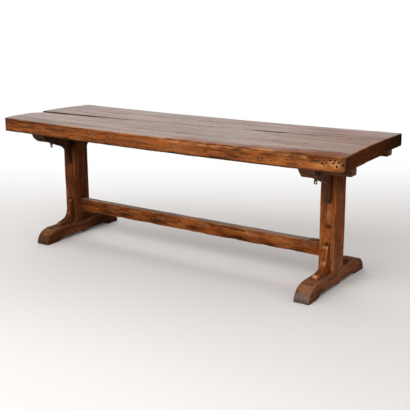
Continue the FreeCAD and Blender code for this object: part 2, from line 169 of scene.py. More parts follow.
def add_node(tree: bpy.types.NodeTree, kind: str, inputs: Optional[dict] = None,
             **settings) -> bpy.types.Node:
    """Adds a node with its settings, and fills or links its inputs.

    Args:
        tree: the node tree that gets the node.
        kind: Blender's name of the node's type.
        inputs: per input, by name or number, a value or the output that feeds it.
        settings: properties of the node itself.

    Returns:
        The new node.
    """
    node = tree.nodes.new(kind)
    for name, value in settings.items():
        setattr(node, name, value)
    for key, value in (inputs or {}).items():
        if isinstance(value, bpy.types.NodeSocket):
            tree.links.new(value, node.inputs[key])
        else:
            node.inputs[key].default_value = value
    return node


def blank_material(title: str) -> bpy.types.Material:
    """Makes a material whose nodes are still to be laid.

    Args:
        title: its name.

    Returns:
        The material, with an empty node tree.
    """
    made = bpy.data.materials.new(title)
    made.use_nodes = True
    made.node_tree.nodes.clear()
    return made


@dataclass(frozen=True)
class Coat:
    """One layer of colour over the wood, laid where a pattern lies in a range."""

    pattern: Pattern   # the pattern that breaks it up
    low: float   # value of the pattern where the layer starts
    high: float   # value where it is full
    colour: str   # its sRGB colour
    strength: float = 1.0   # its opacity, unless a mask gives it
    mask: Optional[Mask] = None   # the painted mask that gives its opacity


@dataclass(frozen=True)
class OldWalnut:
    """Waxed walnut, some centuries old: hand-planed, handled and dry.

    It shows brown heartwood in long orange and dark streaks, a soft wax sheen, fine dark drying checks
    along the fibres, pale rubbed arrises with painted highlights, grey dust worked into level faces, and
    dirt and painted shade where no hand or cloth reaches. The oak of the wedges and pegs is dressed in the
    same way.
    """

    name: str   # first part of the names of its materials
    slot: str   # the record's material slot
    heart: str   # colour of the wood
    streak: str   # colour of its dark streaks
    glow: str   # colour of its bright ones
    worn: str = "#b5824f"   # colour of rubbed arrises and of painted highlights
    grime: str = "#1c0f07"   # colour of dirt and of painted shade
    end_grain: str = "#42200c"   # colour of fibres cut across
    dust: str = "#755a4b"   # colour of waxed and dusty level faces
    roughness: float = 0.85   # how dull the dry wood is
    waxed: float = 0.40   # how dull waxed level faces are
    specular: float = 0.04   # strength of the gloss
    contrast: float = 0.6   # strength of the streaks
    specks: float = 0.5   # strength of the dark specks
    breakup: float = 0.55   # roughness of all its patterns
    check: float = 0.011   # half the span of the pattern's values that makes a drying check
    checked: Pair = (0.44, 0.58)   # values of the patina between which checks come in
    wax_range: Pair = (0.35, 0.65)   # values of the streaks between which the wax changes
    wax_change: Pair = (-0.08, 0.16)   # what the wax adds to its dullness at both ends of that range
    relief: float = 0.35   # strength of the fibres' relief
    relief_mm: float = 1.2   # depth of that relief
    ior: float = 1.5   # how strongly it bends light

    def coats(self) -> list[Coat]:
        """Lists the layers of colour over the heartwood.

        Returns:
            The layers, from the wood outwards.
        """
        return [
            Coat(Pattern.FIGURE, 0.42, 0.62, self.streak, self.contrast),
            Coat(Pattern.FIBRE, 0.52, 0.70, self.glow, 0.9 * self.contrast),
            Coat(Pattern.FIBRE, 0.46, 0.30, self.streak, 0.9 * self.contrast),
            Coat(Pattern.PATINA, 0.52, 0.74, self.grime, 0.45),
            Coat(Pattern.PATINA, 0.46, 0.28, self.glow, 0.45),
            Coat(Pattern.SPECK, 0.56, 0.64, self.grime, self.specks),
            Coat(Pattern.FIBRE, 0.72, 0.40, self.dust, mask=Mask.DUST),
            Coat(Pattern.STREAK, 0.55, 0.66, self.grime, 0.5),
            Coat(Pattern.RUB, 0.05, 0.60, self.end_grain, mask=Mask.END_GRAIN),
            Coat(Pattern.RUB, 0.26, 0.62, self.worn, mask=Mask.WEAR),
            Coat(Pattern.RUB, 0.05, 0.45, self.grime, mask=Mask.GRIME),
            Coat(Pattern.RUB, 0.02, 0.30, self.grime, mask=Mask.HOLE),
        ]

    def material(self, grain: Grain) -> bpy.types.Material:
        """Makes the finish for members whose fibres run one way.

        Args:
            grain: the way that the fibres run.

        Returns:
            The material, which reads Object coordinates and the painted masks.
        """
        title = f"{self.name}_{grain.word}"
        if title in bpy.data.materials:
            return bpy.data.materials[title]
        made = blank_material(title)
        tree = made.node_tree
        place = add_node(tree, "ShaderNodeTexCoord").outputs["Object"]
        masks = {mask: add_node(tree, "ShaderNodeAttribute", attribute_name=mask.value).outputs["Fac"]
                 for mask in Mask}
        noises = {}
        for pattern in Pattern:
            length, width, detail, distortion = pattern.value
            drawn = add_node(tree, "ShaderNodeMapping",
                             {"Vector": place, "Scale": grain.stretch(length, width)}).outputs[0]
            noises[pattern] = add_node(tree, "ShaderNodeTexNoise",
                                       {"Vector": drawn, "Scale": 1.0, "Detail": detail,
                                        "Roughness": self.breakup, "Distortion": distortion}).outputs["Fac"]
        colour: SocketValue = linear(self.heart)
        for coat in self.coats():
            share = add_node(tree, "ShaderNodeMapRange",
                             {"Value": noises[coat.pattern], "From Min": coat.low, "From Max": coat.high,
                              "To Max": masks[coat.mask] if coat.mask else coat.strength},
                             interpolation_type="SMOOTHSTEP").outputs[0]
            colour = add_node(tree, "ShaderNodeMix",
                              {MIX_FACTOR: share, MIX_A: colour, MIX_B: linear(coat.colour)},
                              data_type="RGBA").outputs[MIX_RESULT]
        thin = add_node(tree, "ShaderNodeMath", {0: noises[Pattern.CHECK], 1: NOISE_MIDDLE, 2: self.check},
                        operation="COMPARE").outputs[0]
        check = add_node(tree, "ShaderNodeMapRange",
                         {"Value": noises[Pattern.PATINA], "From Min": self.checked[0],
                          "From Max": self.checked[1], "To Max": thin}).outputs[0]
        colour = add_node(tree, "ShaderNodeMix",
                          {MIX_FACTOR: check, MIX_A: colour, MIX_B: linear(self.grime)},
                          data_type="RGBA").outputs[MIX_RESULT]
        wax = add_node(tree, "ShaderNodeMapRange",
                       {"Value": noises[Pattern.STREAK],
                        "From Min": self.wax_range[0], "From Max": self.wax_range[1],
                        "To Min": self.waxed + self.wax_change[0],
                        "To Max": self.waxed + self.wax_change[1]}).outputs[0]
        rough = add_node(tree, "ShaderNodeMapRange",
                         {"Value": masks[Mask.DUST], "To Min": self.roughness, "To Max": wax}).outputs[0]
        height = add_node(tree, "ShaderNodeMath", {0: noises[Pattern.FIBRE], 1: check},
                          operation="SUBTRACT").outputs[0]
        bump = add_node(tree, "ShaderNodeBump",
                        {"Height": height, "Strength": self.relief, "Distance": self.relief_mm * MM})
        surface = add_node(tree, "ShaderNodeBsdfPrincipled",
                           {"Base Color": colour, "Roughness": rough, "IOR": self.ior,
                            "Specular IOR Level": self.specular, "Normal": bump.outputs[0]})
        add_node(tree, "ShaderNodeOutputMaterial", {"Surface": surface.outputs[0]})
        return made


@dataclass(frozen=True)
class ForgedIron:
    """Wrought iron, hammered hot and black with old oxide: dull, uneven, brown where it has rusted."""

    name: str   # name of its material
    slot: str   # the record's material slot
    oxide: str = "#12100f"   # colour of the oxide
    rust: str = "#2b1c14"   # colour of the rust
    roughness: float = 0.75   # how dull it is
    metallic: float = 0.2   # how much of its metal still shows
    specular: float = 0.2   # strength of the gloss
    hammer_mm: float = 4.0   # size of one blow of the hammer
    hammered: float = 0.4   # strength of the blows
    dent_mm: float = 0.4   # their depth
    rust_mm: float = 9.0   # size of one spot of rust
    rust_detail: float = 3.0   # detail of those spots
    rusted: Pair = (0.5, 0.75)   # values of the spots between which rust comes in

    def material(self) -> bpy.types.Material:
        """Makes the finish.

        Returns:
            The material, which reads Object coordinates.
        """
        if self.name in bpy.data.materials:
            return bpy.data.materials[self.name]
        made = blank_material(self.name)
        tree = made.node_tree
        place = add_node(tree, "ShaderNodeTexCoord").outputs["Object"]
        spots = add_node(tree, "ShaderNodeTexNoise",
                         {"Vector": place, "Scale": 1 / (self.rust_mm * MM),
                          "Detail": self.rust_detail}).outputs["Fac"]
        blows = add_node(tree, "ShaderNodeTexVoronoi",
                         {"Vector": place, "Scale": 1 / (self.hammer_mm * MM)}).outputs["Distance"]
        share = add_node(tree, "ShaderNodeMapRange",
                         {"Value": spots, "From Min": self.rusted[0], "From Max": self.rusted[1]}).outputs[0]
        colour = add_node(tree, "ShaderNodeMix",
                          {MIX_FACTOR: share, MIX_A: linear(self.oxide), MIX_B: linear(self.rust)},
                          data_type="RGBA").outputs[MIX_RESULT]
        bump = add_node(tree, "ShaderNodeBump",
                        {"Height": blows, "Strength": self.hammered, "Distance": self.dent_mm * MM})
        surface = add_node(tree, "ShaderNodeBsdfPrincipled",
                           {"Base Color": colour, "Metallic": self.metallic, "Roughness": self.roughness,
                            "Specular IOR Level": self.specular, "Normal": bump.outputs[0]})
        add_node(tree, "ShaderNodeOutputMaterial", {"Surface": surface.outputs[0]})
        return made


TOP_WALNUT = OldWalnut("top_walnut", "top_walnut", heart="#8a4a20", streak="#4e260d", glow="#b06d38",
                       worn="#b87d4c", dust="#7e6356", waxed=0.24, specular=0.12, contrast=0.55, specks=0.45)
SAWN_END = OldWalnut("sawn_end_walnut", "top_walnut", heart="#8a4a20", streak="#4e260d", glow="#b06d38",
                     worn="#b87d4c", end_grain="#4c250f", specular=0.01, contrast=0.55)
# The frame walnut's pale worn colour also paints the highlights on the right front lower bracket.
FRAME_WALNUT = OldWalnut("frame_walnut", "frame_walnut", heart="#88451c", streak="#48240d", glow="#ab602c",
                         worn="#c79468", dust="#8a6d58", end_grain="#6a3616")
# A lighter copy of the frame walnut: painted light on the posts, whose fronts the top shades.
LIT_POST_WALNUT = OldWalnut("post_walnut", "frame_walnut", heart="#914e26", streak="#502a14", glow="#b36a36",
                        worn="#c79468", end_grain="#6a3616")
SHADED_WALNUT = OldWalnut("shaded_walnut", "frame_walnut", heart="#834625", streak="#432110", glow="#a15c2f",
                          worn="#a87a52", end_grain="#512914")
FOOT_WALNUT = OldWalnut("foot_walnut", "foot_walnut", heart="#7b4a31", streak="#41271b", glow="#966241",
                        worn="#9d6a47", end_grain="#6e5e57")
SHADED_FOOT = OldWalnut("shaded_foot_walnut", "foot_walnut", heart="#5e3319", streak="#301a0c",
                        glow="#7d4a26", end_grain="#4c382c")
DARK_WALNUT = OldWalnut("dark_walnut", "dark_walnut", heart="#603b28", streak="#342014", glow="#7c5847",
                        worn="#80604b", end_grain="#5a473f")
# A darker copy of the dark walnut for the left trestle: painted shade.
SHADED_DARK_WALNUT = OldWalnut("black_walnut", "dark_walnut", heart="#402413", streak="#1f1008", glow="#5a3620",
                         worn="#6f4d38", end_grain="#3c2c24")
WEDGE_OAK = OldWalnut("wedge_oak", "peg_oak", heart="#7f5c42", streak="#533726", glow="#976f52",
                      end_grain="#5a3018")
PEG_OAK = OldWalnut("peg_oak", "peg_oak", heart="#4a2c18", streak="#2a180d", glow="#6a4426",
                    end_grain="#33211a")
IRON = ForgedIron("wrought_iron", "wrought_iron")
POST_WOOD = {Side.LEFT: SHADED_WALNUT, Side.RIGHT: LIT_POST_WALNUT}
KNEE_WOOD = {Side.LEFT: SHADED_WALNUT, Side.RIGHT: FRAME_WALNUT}
FOOT_WOOD = {Side.LEFT: SHADED_FOOT, Side.RIGHT: FOOT_WALNUT}
BEARER_WOOD = {Side.LEFT: SHADED_DARK_WALNUT, Side.RIGHT: DARK_WALNUT}


def set_piece(mesh: bmesh.types.BMesh, node: str, material: bpy.types.Material,
              body: str) -> bpy.types.Object:
    """Turns a mesh modelled in mm into a finished piece.

    Args:
        mesh: the mesh, which is used up.
        node: the CAD node that it stands for.
        material: its finish.
        body: the CAD body that it rides on.

    Returns:
        The piece.
    """
    bmesh.ops.translate(mesh, vec=-ORIGIN, verts=mesh.verts[:])
    bmesh.ops.scale(mesh, vec=(MM, MM, MM), verts=mesh.verts[:])
    name = f"aged_{node}"
    data = bpy.data.meshes.new(name)
    mesh.to_mesh(data)
    mesh.free()
    data.polygons.foreach_set("use_smooth", [True] * len(data.polygons))
    data.set_sharp_from_angle(angle=SMOOTH_BELOW)
    data.materials.append(material)
    piece = bpy.data.objects.new(name, data)
    bpy.context.scene.collection.objects.link(piece)
    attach(piece, body)
    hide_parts(node)
    LOG.info("%s: %d faces on %s", name, len(data.polygons), body)
    return piece


def turn_piece(mesh: bmesh.types.BMesh, profile: Sequence[Pair], seat: Vector, ahead: Vector,
               facets: int) -> None:
    """Turns a profile about its own axis and sets the result in a mesh.

    Args:
        mesh: the mesh that gets it.
        profile: radius and distance along the axis of each corner, in mm, from one pole to the other.
        seat: where distance 0 is.
        ahead: the way that the axis runs.
        facets: how many flats the whittling or forging left round it.
    """
    older = set(mesh.verts)
    corners = [mesh.verts.new((radius, 0, along)) for radius, along in profile]
    edges = [mesh.edges.new(pair) for pair in zip(corners, corners[1:])]
    bmesh.ops.spin(mesh, geom=corners + edges, cent=(0, 0, 0), axis=(0, 0, 1), angle=2 * pi, steps=facets,
                   use_merge=True, use_duplicate=False)
    bmesh.ops.remove_doubles(mesh, verts=[vert for vert in mesh.verts if vert not in older], dist=WELD)
    fresh = [vert for vert in mesh.verts if vert not in older]
    turn = ahead.to_track_quat("Z", "Y").to_matrix().to_4x4()
    bmesh.ops.transform(mesh, matrix=Matrix.Translation(seat) @ turn, verts=fresh)
    bmesh.ops.recalc_face_normals(mesh, faces=list({face for vert in fresh for face in vert.link_faces}))


@dataclass(frozen=True)
class Mark:
    """One mark of use or growth, or of painted shade or highlight, on a member."""

    mask: Mask   # the mask that the mark paints
    place: Point   # its middle, in mm
    reach: Point   # its half sizes along X, Y and Z, in mm
    strength: float = 1.0   # how strongly it paints
    depth: float = 0.0   # how far it is sunk, in mm

    def share(self, point: Vector) -> float:
        """How much of the mark a point gets, from 0 outside to 1 in the middle."""
        away = sum(((point[axis] - self.place[axis]) / self.reach[axis]) ** 2 for axis in range(3))
        return max(0.0, 1.0 - away)


@dataclass(frozen=True)
class Ageing:
    """How wear and dirt spread over every member."""

    seed_step: float = 3.7   # shift of the waves for the letters of a member's name, in mm
    slow_wave: float = 130.0   # length of the slow waves in a planed face, in mm
    quick_wave: float = 34.0   # length of the quick ones
    quick_share: float = 0.4   # strength of the quick ones beside the slow ones
    wear_wave: float = 75.0   # length of the waves in which arrises are worn
    worn: float = 0.35   # level of that wear
    worn_quick: float = 0.5   # what the quick waves add to it
    paled: float = 0.25   # how pale an arris is rubbed that is hardly worn
    full_arris: float = radians(30)   # turn between faces that counts as a whole arris
    end_from: float = 0.72   # part of the normal along the fibres at which end grain begins to show
    end_span: float = 0.2   # how much more makes it show in full
    level_from: float = 0.5   # upward part of the normal at which wax and dust begin to lie
    level_span: float = 0.4   # how much more lets them lie in full


AGE = Ageing()


@dataclass
class Timber:
    """One wooden member, modelled in mm as the joiner cut it and then aged."""

    node: str   # the CAD node that it stands for
    finish: OldWalnut   # its wood
    grain: Grain   # the way that its fibres run
    # Distance of the cuts along X, Y and Z that let age show between its corners, in mm.
    steps: Sequence[float] = (9.0, 9.0, 9.0)
    wobble: float = 0.7   # how far the plane and the adze left it from flat, in mm
    rub: float = 1.6   # how deep its arrises are worn, in mm
    polish: float = 0.6   # how pale they are rubbed
    dust: float = 0.4   # how grey its level faces are
    marks: Sequence[Mark] = ()   # marks of use and growth, and of painted shade and highlights
    dirt: Optional[Callable[[Vector, Vector], float]] = None   # share of dirt and painted shade at a point with a normal
    bend: Optional[Callable[[Vector], Vector]] = None   # extra move of a point, such as the sag of the top
    sheltered: Optional[Callable[[Vector], bool]] = None   # says where no hand or cloth rubs
    round_facets: int = 10   # flats of a sawn rounding
    ease_facets: int = 3   # flats of an eased arris
    crack_half: float = 1.6   # half the width of a drying crack at its lips, in mm
    crack_depth: float = 3.0   # how deep it gapes
    crack_strip: float = 22.0   # half the width of the strip of a face that a crack is looked for in
    hole_depth: float = 7.0   # depth of a worm hole, in mm
    hole_lip: float = 0.9   # width of its lip
    hole_flat: float = 0.7   # its width across the fibres for its length along them
    hole_skin: float = 12.0   # how far from a face's own plane its wood still belongs to it
    mesh: bmesh.types.BMesh = field(default_factory=bmesh.new)   # its mesh so far

    def __post_init__(self) -> None:
        """Gives the mesh its masks."""
        self.layers = {mask: self.mesh.verts.layers.float.new(mask.value) for mask in Mask}

    def block(self, low: Sequence[float], high: Sequence[float]) -> "Timber":
        """Starts from a sawn block.

        Args:
            low: its lowest corner, in mm.
            high: its highest corner, in mm.

        Returns:
            The member itself.
        """
        middle = (Vector(low) + Vector(high)) / 2
        size = Vector(high) - Vector(low)
        bmesh.ops.create_cube(self.mesh, size=1.0,
                              matrix=Matrix.Translation(middle) @ Matrix.Diagonal((*size, 1.0)))
        return self

    def sawn_to(self, outline: Sequence[Pair], rounds: dict[int, float], x_low: float,
                x_high: float) -> "Timber":
        """Starts from an outline across the table, sawn out of a board.

        Args:
            outline: corners along Y and Z, in mm.
            rounds: corner number to the length that its rounding takes off both sides.
            x_low: one face of the board.
            x_high: its other face.

        Returns:
            The member itself.
        """
        corners = [self.mesh.verts.new((x_low, y, z)) for y, z in outline]
        self.mesh.faces.new(corners)
        for number, length in rounds.items():
            spot = Vector((x_low, *outline[number]))
            corner = min(self.mesh.verts, key=lambda vert: (vert.co - spot).length)
            bmesh.ops.bevel(self.mesh, geom=[corner], offset=length, offset_type="OFFSET",
                            segments=self.round_facets, profile=0.5, affect="VERTICES", material=-1,
                            clamp_overlap=False)
        self.draw_out(self.mesh.faces[:], (x_high - x_low, 0, 0))
        bmesh.ops.recalc_face_normals(self.mesh, faces=self.mesh.faces[:])
        return self

    def draw_out(self, faces: list[bmesh.types.BMFace], move: Point) -> None:
        """Extrudes faces along a move, and leaves the old faces where they are."""
        grown = bmesh.ops.extrude_face_region(self.mesh, geom=faces)
        bmesh.ops.translate(self.mesh, verts=only(grown["geom"], bmesh.types.BMVert), vec=move)

    def ease(self, width: float, chosen: Optional[Callable[[bmesh.types.BMEdge], bool]] = None) -> "Timber":
        """Takes the sharpness off arrises.

        Args:
            width: how much is taken off, in mm.
            chosen: says which arrises; all of them if left out.

        Returns:
            The member itself.
        """
        sharp = [edge for edge in self.mesh.edges
                 if edge.calc_face_angle(0) > SHARP_TURN and (chosen is None or chosen(edge))]
        bmesh.ops.bevel(self.mesh, geom=sharp, offset=width, offset_type="OFFSET",
                        segments=self.ease_facets, profile=0.5, affect="EDGES", material=-1,
                        clamp_overlap=True)
        return self

    def scribe(self) -> "Timber":
        """Rules the member with cuts at even steps.

        Returns:
            The member itself.
        """
        for axis, step in enumerate(self.steps):
            low = min(vert.co[axis] for vert in self.mesh.verts)
            high = max(vert.co[axis] for vert in self.mesh.verts)
            count = max(1, round((high - low) / step))
            normal = (ALONG, ACROSS, UP)[axis]
            for number in range(1, count):
                self.cut(normal * (low + (high - low) * number / count), normal)
        return self

    def cut(self, point: Vector, normal: Vector) -> None:
        """Rules one cut right round the member at a plane."""
        everything = self.mesh.verts[:] + self.mesh.edges[:] + self.mesh.faces[:]
        bmesh.ops.bisect_plane(self.mesh, geom=everything, dist=CUT_TOLERANCE, plane_co=point,
                               plane_no=normal)

    def mortise(self, low: Point, high: Point, roof_slope: float) -> "Timber":
        """Cuts a hole right through along X, its roof sloping.

        Args:
            low: lowest corner of the hole; its X is one face of the member.
            high: highest corner of the hole at the other face.
            roof_slope: rise of the roof per mm along X.

        Returns:
            The member itself.
        """
        roof = Vector((-roof_slope, 0, 1)).normalized()
        for point, normal in ((low, ACROSS), (high, ACROSS), (low, UP), (high, roof)):
            self.cut(Vector(point), normal)

        def inside(middle: Vector) -> bool:
            """Whether a point is in the hole's cross section."""
            top = high[2] + roof_slope * (middle.x - high[0])
            return low[1] < middle.y < high[1] and low[2] < middle.z < top

        plugs = [face for face in self.mesh.faces
                 if abs(face.normal.x) > FACING and inside(face.calc_center_median())]
        bmesh.ops.delete(self.mesh, geom=plugs, context="FACES")
        rims = [edge for edge in self.mesh.edges if edge.is_boundary]
        bmesh.ops.bridge_loops(self.mesh, edges=rims)
        bmesh.ops.recalc_face_normals(self.mesh, faces=self.mesh.faces[:])
        return self

    def facing(self, outward: Vector) -> list[bmesh.types.BMFace]:
        """Lists the faces that look one way."""
        self.mesh.normal_update()
        return [face for face in self.mesh.faces if face.normal.dot(outward) > FACING]

    def crack(self, start: Point, end: Point, outward: Vector) -> "Timber":
        """Opens a drying crack along a line on one face.

        Args:
            start: one end of the crack, in mm.
            end: its other end.
            outward: the way that the face looks.

        Returns:
            The member itself.
        """
        first = Vector(start)
        run = Vector(end) - first
        length = run.length
        along = run / length
        across = along.cross(outward)
        near = [face for face in self.facing(outward)
                if abs((face.calc_center_median() - first).dot(across)) < self.crack_strip
                and 0 < (face.calc_center_median() - first).dot(along) < length]
        geometry = list({item for face in near for item in (*face.verts, *face.edges, face)})
        bed = []
        for shift in (-self.crack_half, self.crack_half, 0.0):
            made = bmesh.ops.bisect_plane(self.mesh, geom=geometry, dist=WELD,
                                          plane_co=first + across * shift, plane_no=across)
            geometry = made["geom"]
            bed = only(made["geom_cut"], bmesh.types.BMVert)
        for vert in bed:
            share = max(0.0, sin(pi * clamp((vert.co - first).dot(along) / length))) ** 0.5
            vert.co -= outward * self.crack_depth * share
            vert[self.layers[Mask.HOLE]] = share
        return self

    def worm_hole(self, place: Point, outward: Vector, size: float) -> "Timber":
        """Eats a hole into one face.

        Args:
            place: middle of the hole, in mm.
            outward: the way that the face looks, which is along Y.
            size: half its length along the fibres.

        Returns:
            The member itself.
        """
        reach = (size, self.hole_skin, size * self.hole_flat)
        near = [face for face in self.facing(outward)
                if all(abs(face.calc_center_median()[axis] - place[axis]) < reach[axis]
                       for axis in range(3))]
        if near:
            bmesh.ops.inset_region(self.mesh, faces=near, thickness=self.hole_lip, depth=0.0,
                                   use_boundary=True, use_even_offset=True)
            bottom = {vert for face in near for vert in face.verts}
            for vert in bottom:
                vert.co -= outward * self.hole_depth
                vert[self.layers[Mask.HOLE]] = 1.0
        return self

    def age(self) -> "Timber":
        """Wears the arrises, lets the faces wander, sinks the marks and paints the masks.

        Returns:
            The member itself.
        """
        self.mesh.normal_update()
        seed = Vector((sum(map(ord, self.node)) * AGE.seed_step, 0, 0))
        moves = []
        for vert in self.mesh.verts:
            point, normal = vert.co.copy(), vert.normal.copy()
            facing = [face.normal for face in vert.link_faces]
            turn = max((one.angle(other, 0) for one in facing for other in facing), default=0.0)
            sunk = vert[self.layers[Mask.HOLE]]
            arris = min(1.0, turn / AGE.full_arris) * (1 - min(1.0, 2 * sunk))
            if self.sheltered and self.sheltered(point):
                arris = 0.0
            slow = noise.noise((point + seed) / AGE.slow_wave)
            quick = noise.noise((point + seed) / AGE.quick_wave)
            worn = max(0.0, AGE.worn + noise.noise((point - seed) / AGE.wear_wave) + AGE.worn_quick * quick)
            move = normal * self.wobble * (slow + AGE.quick_share * quick) - normal * self.rub * arris * worn
            painted = {
                Mask.WEAR: self.polish * arris * (AGE.paled + worn),
                Mask.END_GRAIN: (abs(normal[self.grain.value]) - AGE.end_from) / AGE.end_span,
                Mask.GRIME: self.dirt(point, normal) if self.dirt else 0.0,
                Mask.DUST: self.dust * max(0.0, normal.z - AGE.level_from) / AGE.level_span,
                Mask.HOLE: sunk,
            }
            for mark in self.marks:
                share = mark.share(point)
                painted[mark.mask] += share * mark.strength
                move -= normal * mark.depth * share
            painted[Mask.DUST] *= 1 - clamp(painted[Mask.GRIME])   # dirt and painted shade take no wax
            for mask, value in painted.items():
                vert[self.layers[mask]] = clamp(value)
            if self.bend:
                move += self.bend(point)
            moves.append(move)
        for vert, move in zip(self.mesh.verts, moves):
            vert.co += move
            vert.co.z = max(0.0, vert.co.z)   # the floor
        return self

    def place(self) -> bpy.types.Object:
        """Sets the aged member in the table, where it rides on the table's body and stands for its node."""
        finish = self.finish
        return set_piece(self.mesh, self.node, finish.material(self.grain), TABLE_BODY)


@dataclass
class TableTop:
    """The thick top of two tapering planks with hand-cut ends, sagged between the trestles. Sizes in mm."""

    upper: float = 760.0   # height of the top
    thickness: dict[Face, float] = field(default_factory=lambda: {Face.FRONT: 78.0, Face.BACK: 67.0})
    # Per plank and end, the outer corner and the one at the seam.
    corners: dict[tuple[Face, Side], tuple[Pair, Pair]] = field(default_factory=lambda: {
        (Face.FRONT, Side.LEFT): ((-1102.0, -363.5), (-1088.0, -47.5)),
        (Face.FRONT, Side.RIGHT): ((1097.0, -363.5), (1070.0, 151.0)),
        (Face.BACK, Side.LEFT): ((-1058.0, 333.0), (-1107.0, -42.5)),
        (Face.BACK, Side.RIGHT): ((1073.0, 383.0), (1069.0, 153.0)),
    })
    # How far the middle of each end swells.
    bulge: dict[tuple[Face, Side], float] = field(default_factory=lambda: {
        (Face.FRONT, Side.LEFT): 26.0, (Face.FRONT, Side.RIGHT): -8.0,
        (Face.BACK, Side.LEFT): 21.0, (Face.BACK, Side.RIGHT): 1.0,
    })
    # Rounding of the upright corners.
    corner: dict[tuple[Face, Side], float] = field(default_factory=lambda: {
        (Face.FRONT, Side.LEFT): 7.0, (Face.FRONT, Side.RIGHT): 24.0,
        (Face.BACK, Side.LEFT): 6.0, (Face.BACK, Side.RIGHT): 4.0,
    })
    front: float = -363.5   # place of the front edge
    half_length: float = 1100.0   # half the length that sags
    bulge_run: float = 160.0   # how far in from the end the swelling is felt
    sag: float = 8.0   # how far the middle has sunk
    seam_step: float = 7.0   # drop of the front plank beside the seam, per share by which it gapes
    step_run: float = 70.0   # how far from the seam that step is felt
    shut: float = 0.2   # share of gaping up to which the planks stand level
    skin: float = 30.0   # depth of the wood that steps down
    # Places along the table and the share by which the seam gapes there.
    opening: Sequence[Pair] = (
        (-1110, 0.8), (-740, 0.7), (-540, 0.45), (-370, 0.2), (250, 0.2), (370, 0.4), (500, 0.6), (570, 0.2),
        (680, 0.3), (800, 0.15), (950, 0.2), (1110, 0.15))
    seam_near: float = 24.0   # how near the seam an arris counts as its own
    seam_skin: float = 2.6   # how near the seam a point belongs to its sides
    seam_gape: float = 16.0   # depth to which the seam gapes
    seam_lean: float = 24.0   # depth over which its sides lean together below that
    seam_play: float = 0.6   # half the width that stays open below
    seam_dirt: float = 11.0   # half the width of the dirt along the seam
    seam_wiped: float = 0.6   # share of that dirt that is left on level wood
    seam_deep: float = 0.4   # share of dirt that its sides have besides
    seam_shelter: float = 9.0   # half the width along it where nothing rubs
    arris_dirt: float = 7.0   # height of the darkening along the lower front arris
    heavy: float = 0.75   # strength of the darkening there and of the painted shade on the underside
    end_facing: float = 0.72   # part of a normal along X that makes a sawn end
    end_dirt: Pair = (0.15, 0.7)   # share of darkening on the right end, and what it grows by
    end_dirt_from: float = -60.0   # place across the right end where its darkening begins to grow
    end_dirt_run: float = 400.0   # distance over which it does
    arris: float = 5.0   # easing of the long arrises
    seam_arris: float = 2.0   # easing at the seam
    steps: Point = (7.0, 11.0, 6.0)   # distance of the ruled cuts along X, Y and Z
    # Places of the stains low on the front edge.
    stains: Sequence[float] = (-930, -610, 130, 400, 655, 830)
    # Places along the front edge where hands took the wax off.
    handled: Sequence[float] = (250, 480, 710, 920, 1060)
    bright: Sequence[float] = (-180, 60, 700)   # places where its upper arris is bright
    broken: Sequence[float] = (120, 205, 290, 372, 455, 560, 760, 850)   # places where that arris is broken
    dents: int = 18   # number of small dark dents in the right half of the edge
    # Places on the top where the wax is thin.
    bare: Sequence[Pair] = ((-560, -290), (150, -310), (-250, 190), (640, 290))
    # Place along, height and half length of each hole in the front edge.
    worm_holes: Sequence[Point] = (
        (988, 709, 5), (1000, 728, 4), (1019, 737, 4), (1024, 718, 4), (1040, 741, 4), (1050, 712, 5),
        (1062, 732, 5), (1074, 741, 4), (1081, 719, 4), (953, 735, 4), (934, 718, 4), (905, 731, 4),
        (862, 715, 4), (800, 724, 4), (712, 708, 4), (662, 717, 4), (548, 727, 4), (330, 706, 4),
        (977, 722, 4), (968, 734, 4), (961, 712, 4), (1009, 713, 5), (1034, 729, 5), (1036, 706, 4))
    # Start and end along the table and across it, of the cracks in the front plank.
    front_cracks: Sequence[tuple[Pair, Pair]] = (
        ((-330, -205), (120, -190)), ((420, -150), (830, -120)), ((560, -290), (1040, -268)))
    # The same for the back plank.
    back_cracks: Sequence[tuple[Pair, Pair]] = (
        ((-760, 150), (-420, 159)), ((-100, 205), (330, 214)), ((500, 170), (900, 179)))

    def seam(self, x: float, face: Face = Face.FRONT) -> float:
        """Place across the table of a plank's side at the seam, at a distance along it."""
        (x_low, y_low), (x_high, y_high) = (self.corners[face, side][1] for side in Side)
        return y_low + (y_high - y_low) * (x - x_low) / (x_high - x_low)

    def off_seam(self, point: Vector, face: Face = Face.FRONT) -> float:
        """Distance of a point across the table from a plank's side at the seam."""
        return abs(point.y - self.seam(point.x, face))

    def open_at(self, x: float) -> float:
        """How far the seam gapes at a distance along the table.

        Args:
            x: the distance, in mm.

        Returns:
            The share, from 0 to 1.
        """
        for (low, first), (high, last) in zip(self.opening, self.opening[1:]):
            if x <= high:
                return first + (last - first) * max(0.0, x - low) / (high - low)
        return self.opening[-1][1]

    def settle(self, face: Face, point: Vector) -> Vector:
        """How far a point of a plank has moved with age: sag, swollen ends and a step at the seam.

        Args:
            face: front or back plank.
            point: the point, in mm.

        Returns:
            Its move, in mm.
        """
        side = Side.of(point.x)
        (outer_x, outer_y), (seam_x, seam_y) = self.corners[face, side]
        share = clamp((point.y - outer_y) / (seam_y - outer_y))
        end = outer_x + (seam_x - outer_x) * share
        near = max(0.0, 1 - abs(end - point.x) / self.bulge_run)
        swell = side.value * self.bulge[face, side] * 4 * share * (1 - share) * near * near * (3 - 2 * near)
        along = point.x / self.half_length
        drop = self.sag * (1 - along * along)
        if face is Face.FRONT and point.z > self.upper - self.skin:
            beside = max(0.0, 1 - self.off_seam(point) / self.step_run)
            drop += self.seam_step * max(0.0, self.open_at(point.x) - self.shut) * beside
        return Vector((swell, self.lean(face, point), -drop))

    def lean(self, face: Face, point: Vector) -> float:
        """How far a point of the seam leans over, since the planks cup and the seam gapes only at the top.

        Args:
            face: front or back plank.
            point: the point, in mm.

        Returns:
            Its move across the table, in mm.
        """
        if self.off_seam(point, face) > self.seam_skin:
            return 0.0
        gap = self.seam(point.x, Face.BACK) - self.seam(point.x)
        deep = clamp((self.upper - self.seam_gape - point.z) / self.seam_lean)
        return -face.value * deep * max(0.0, gap / 2 - self.seam_play)

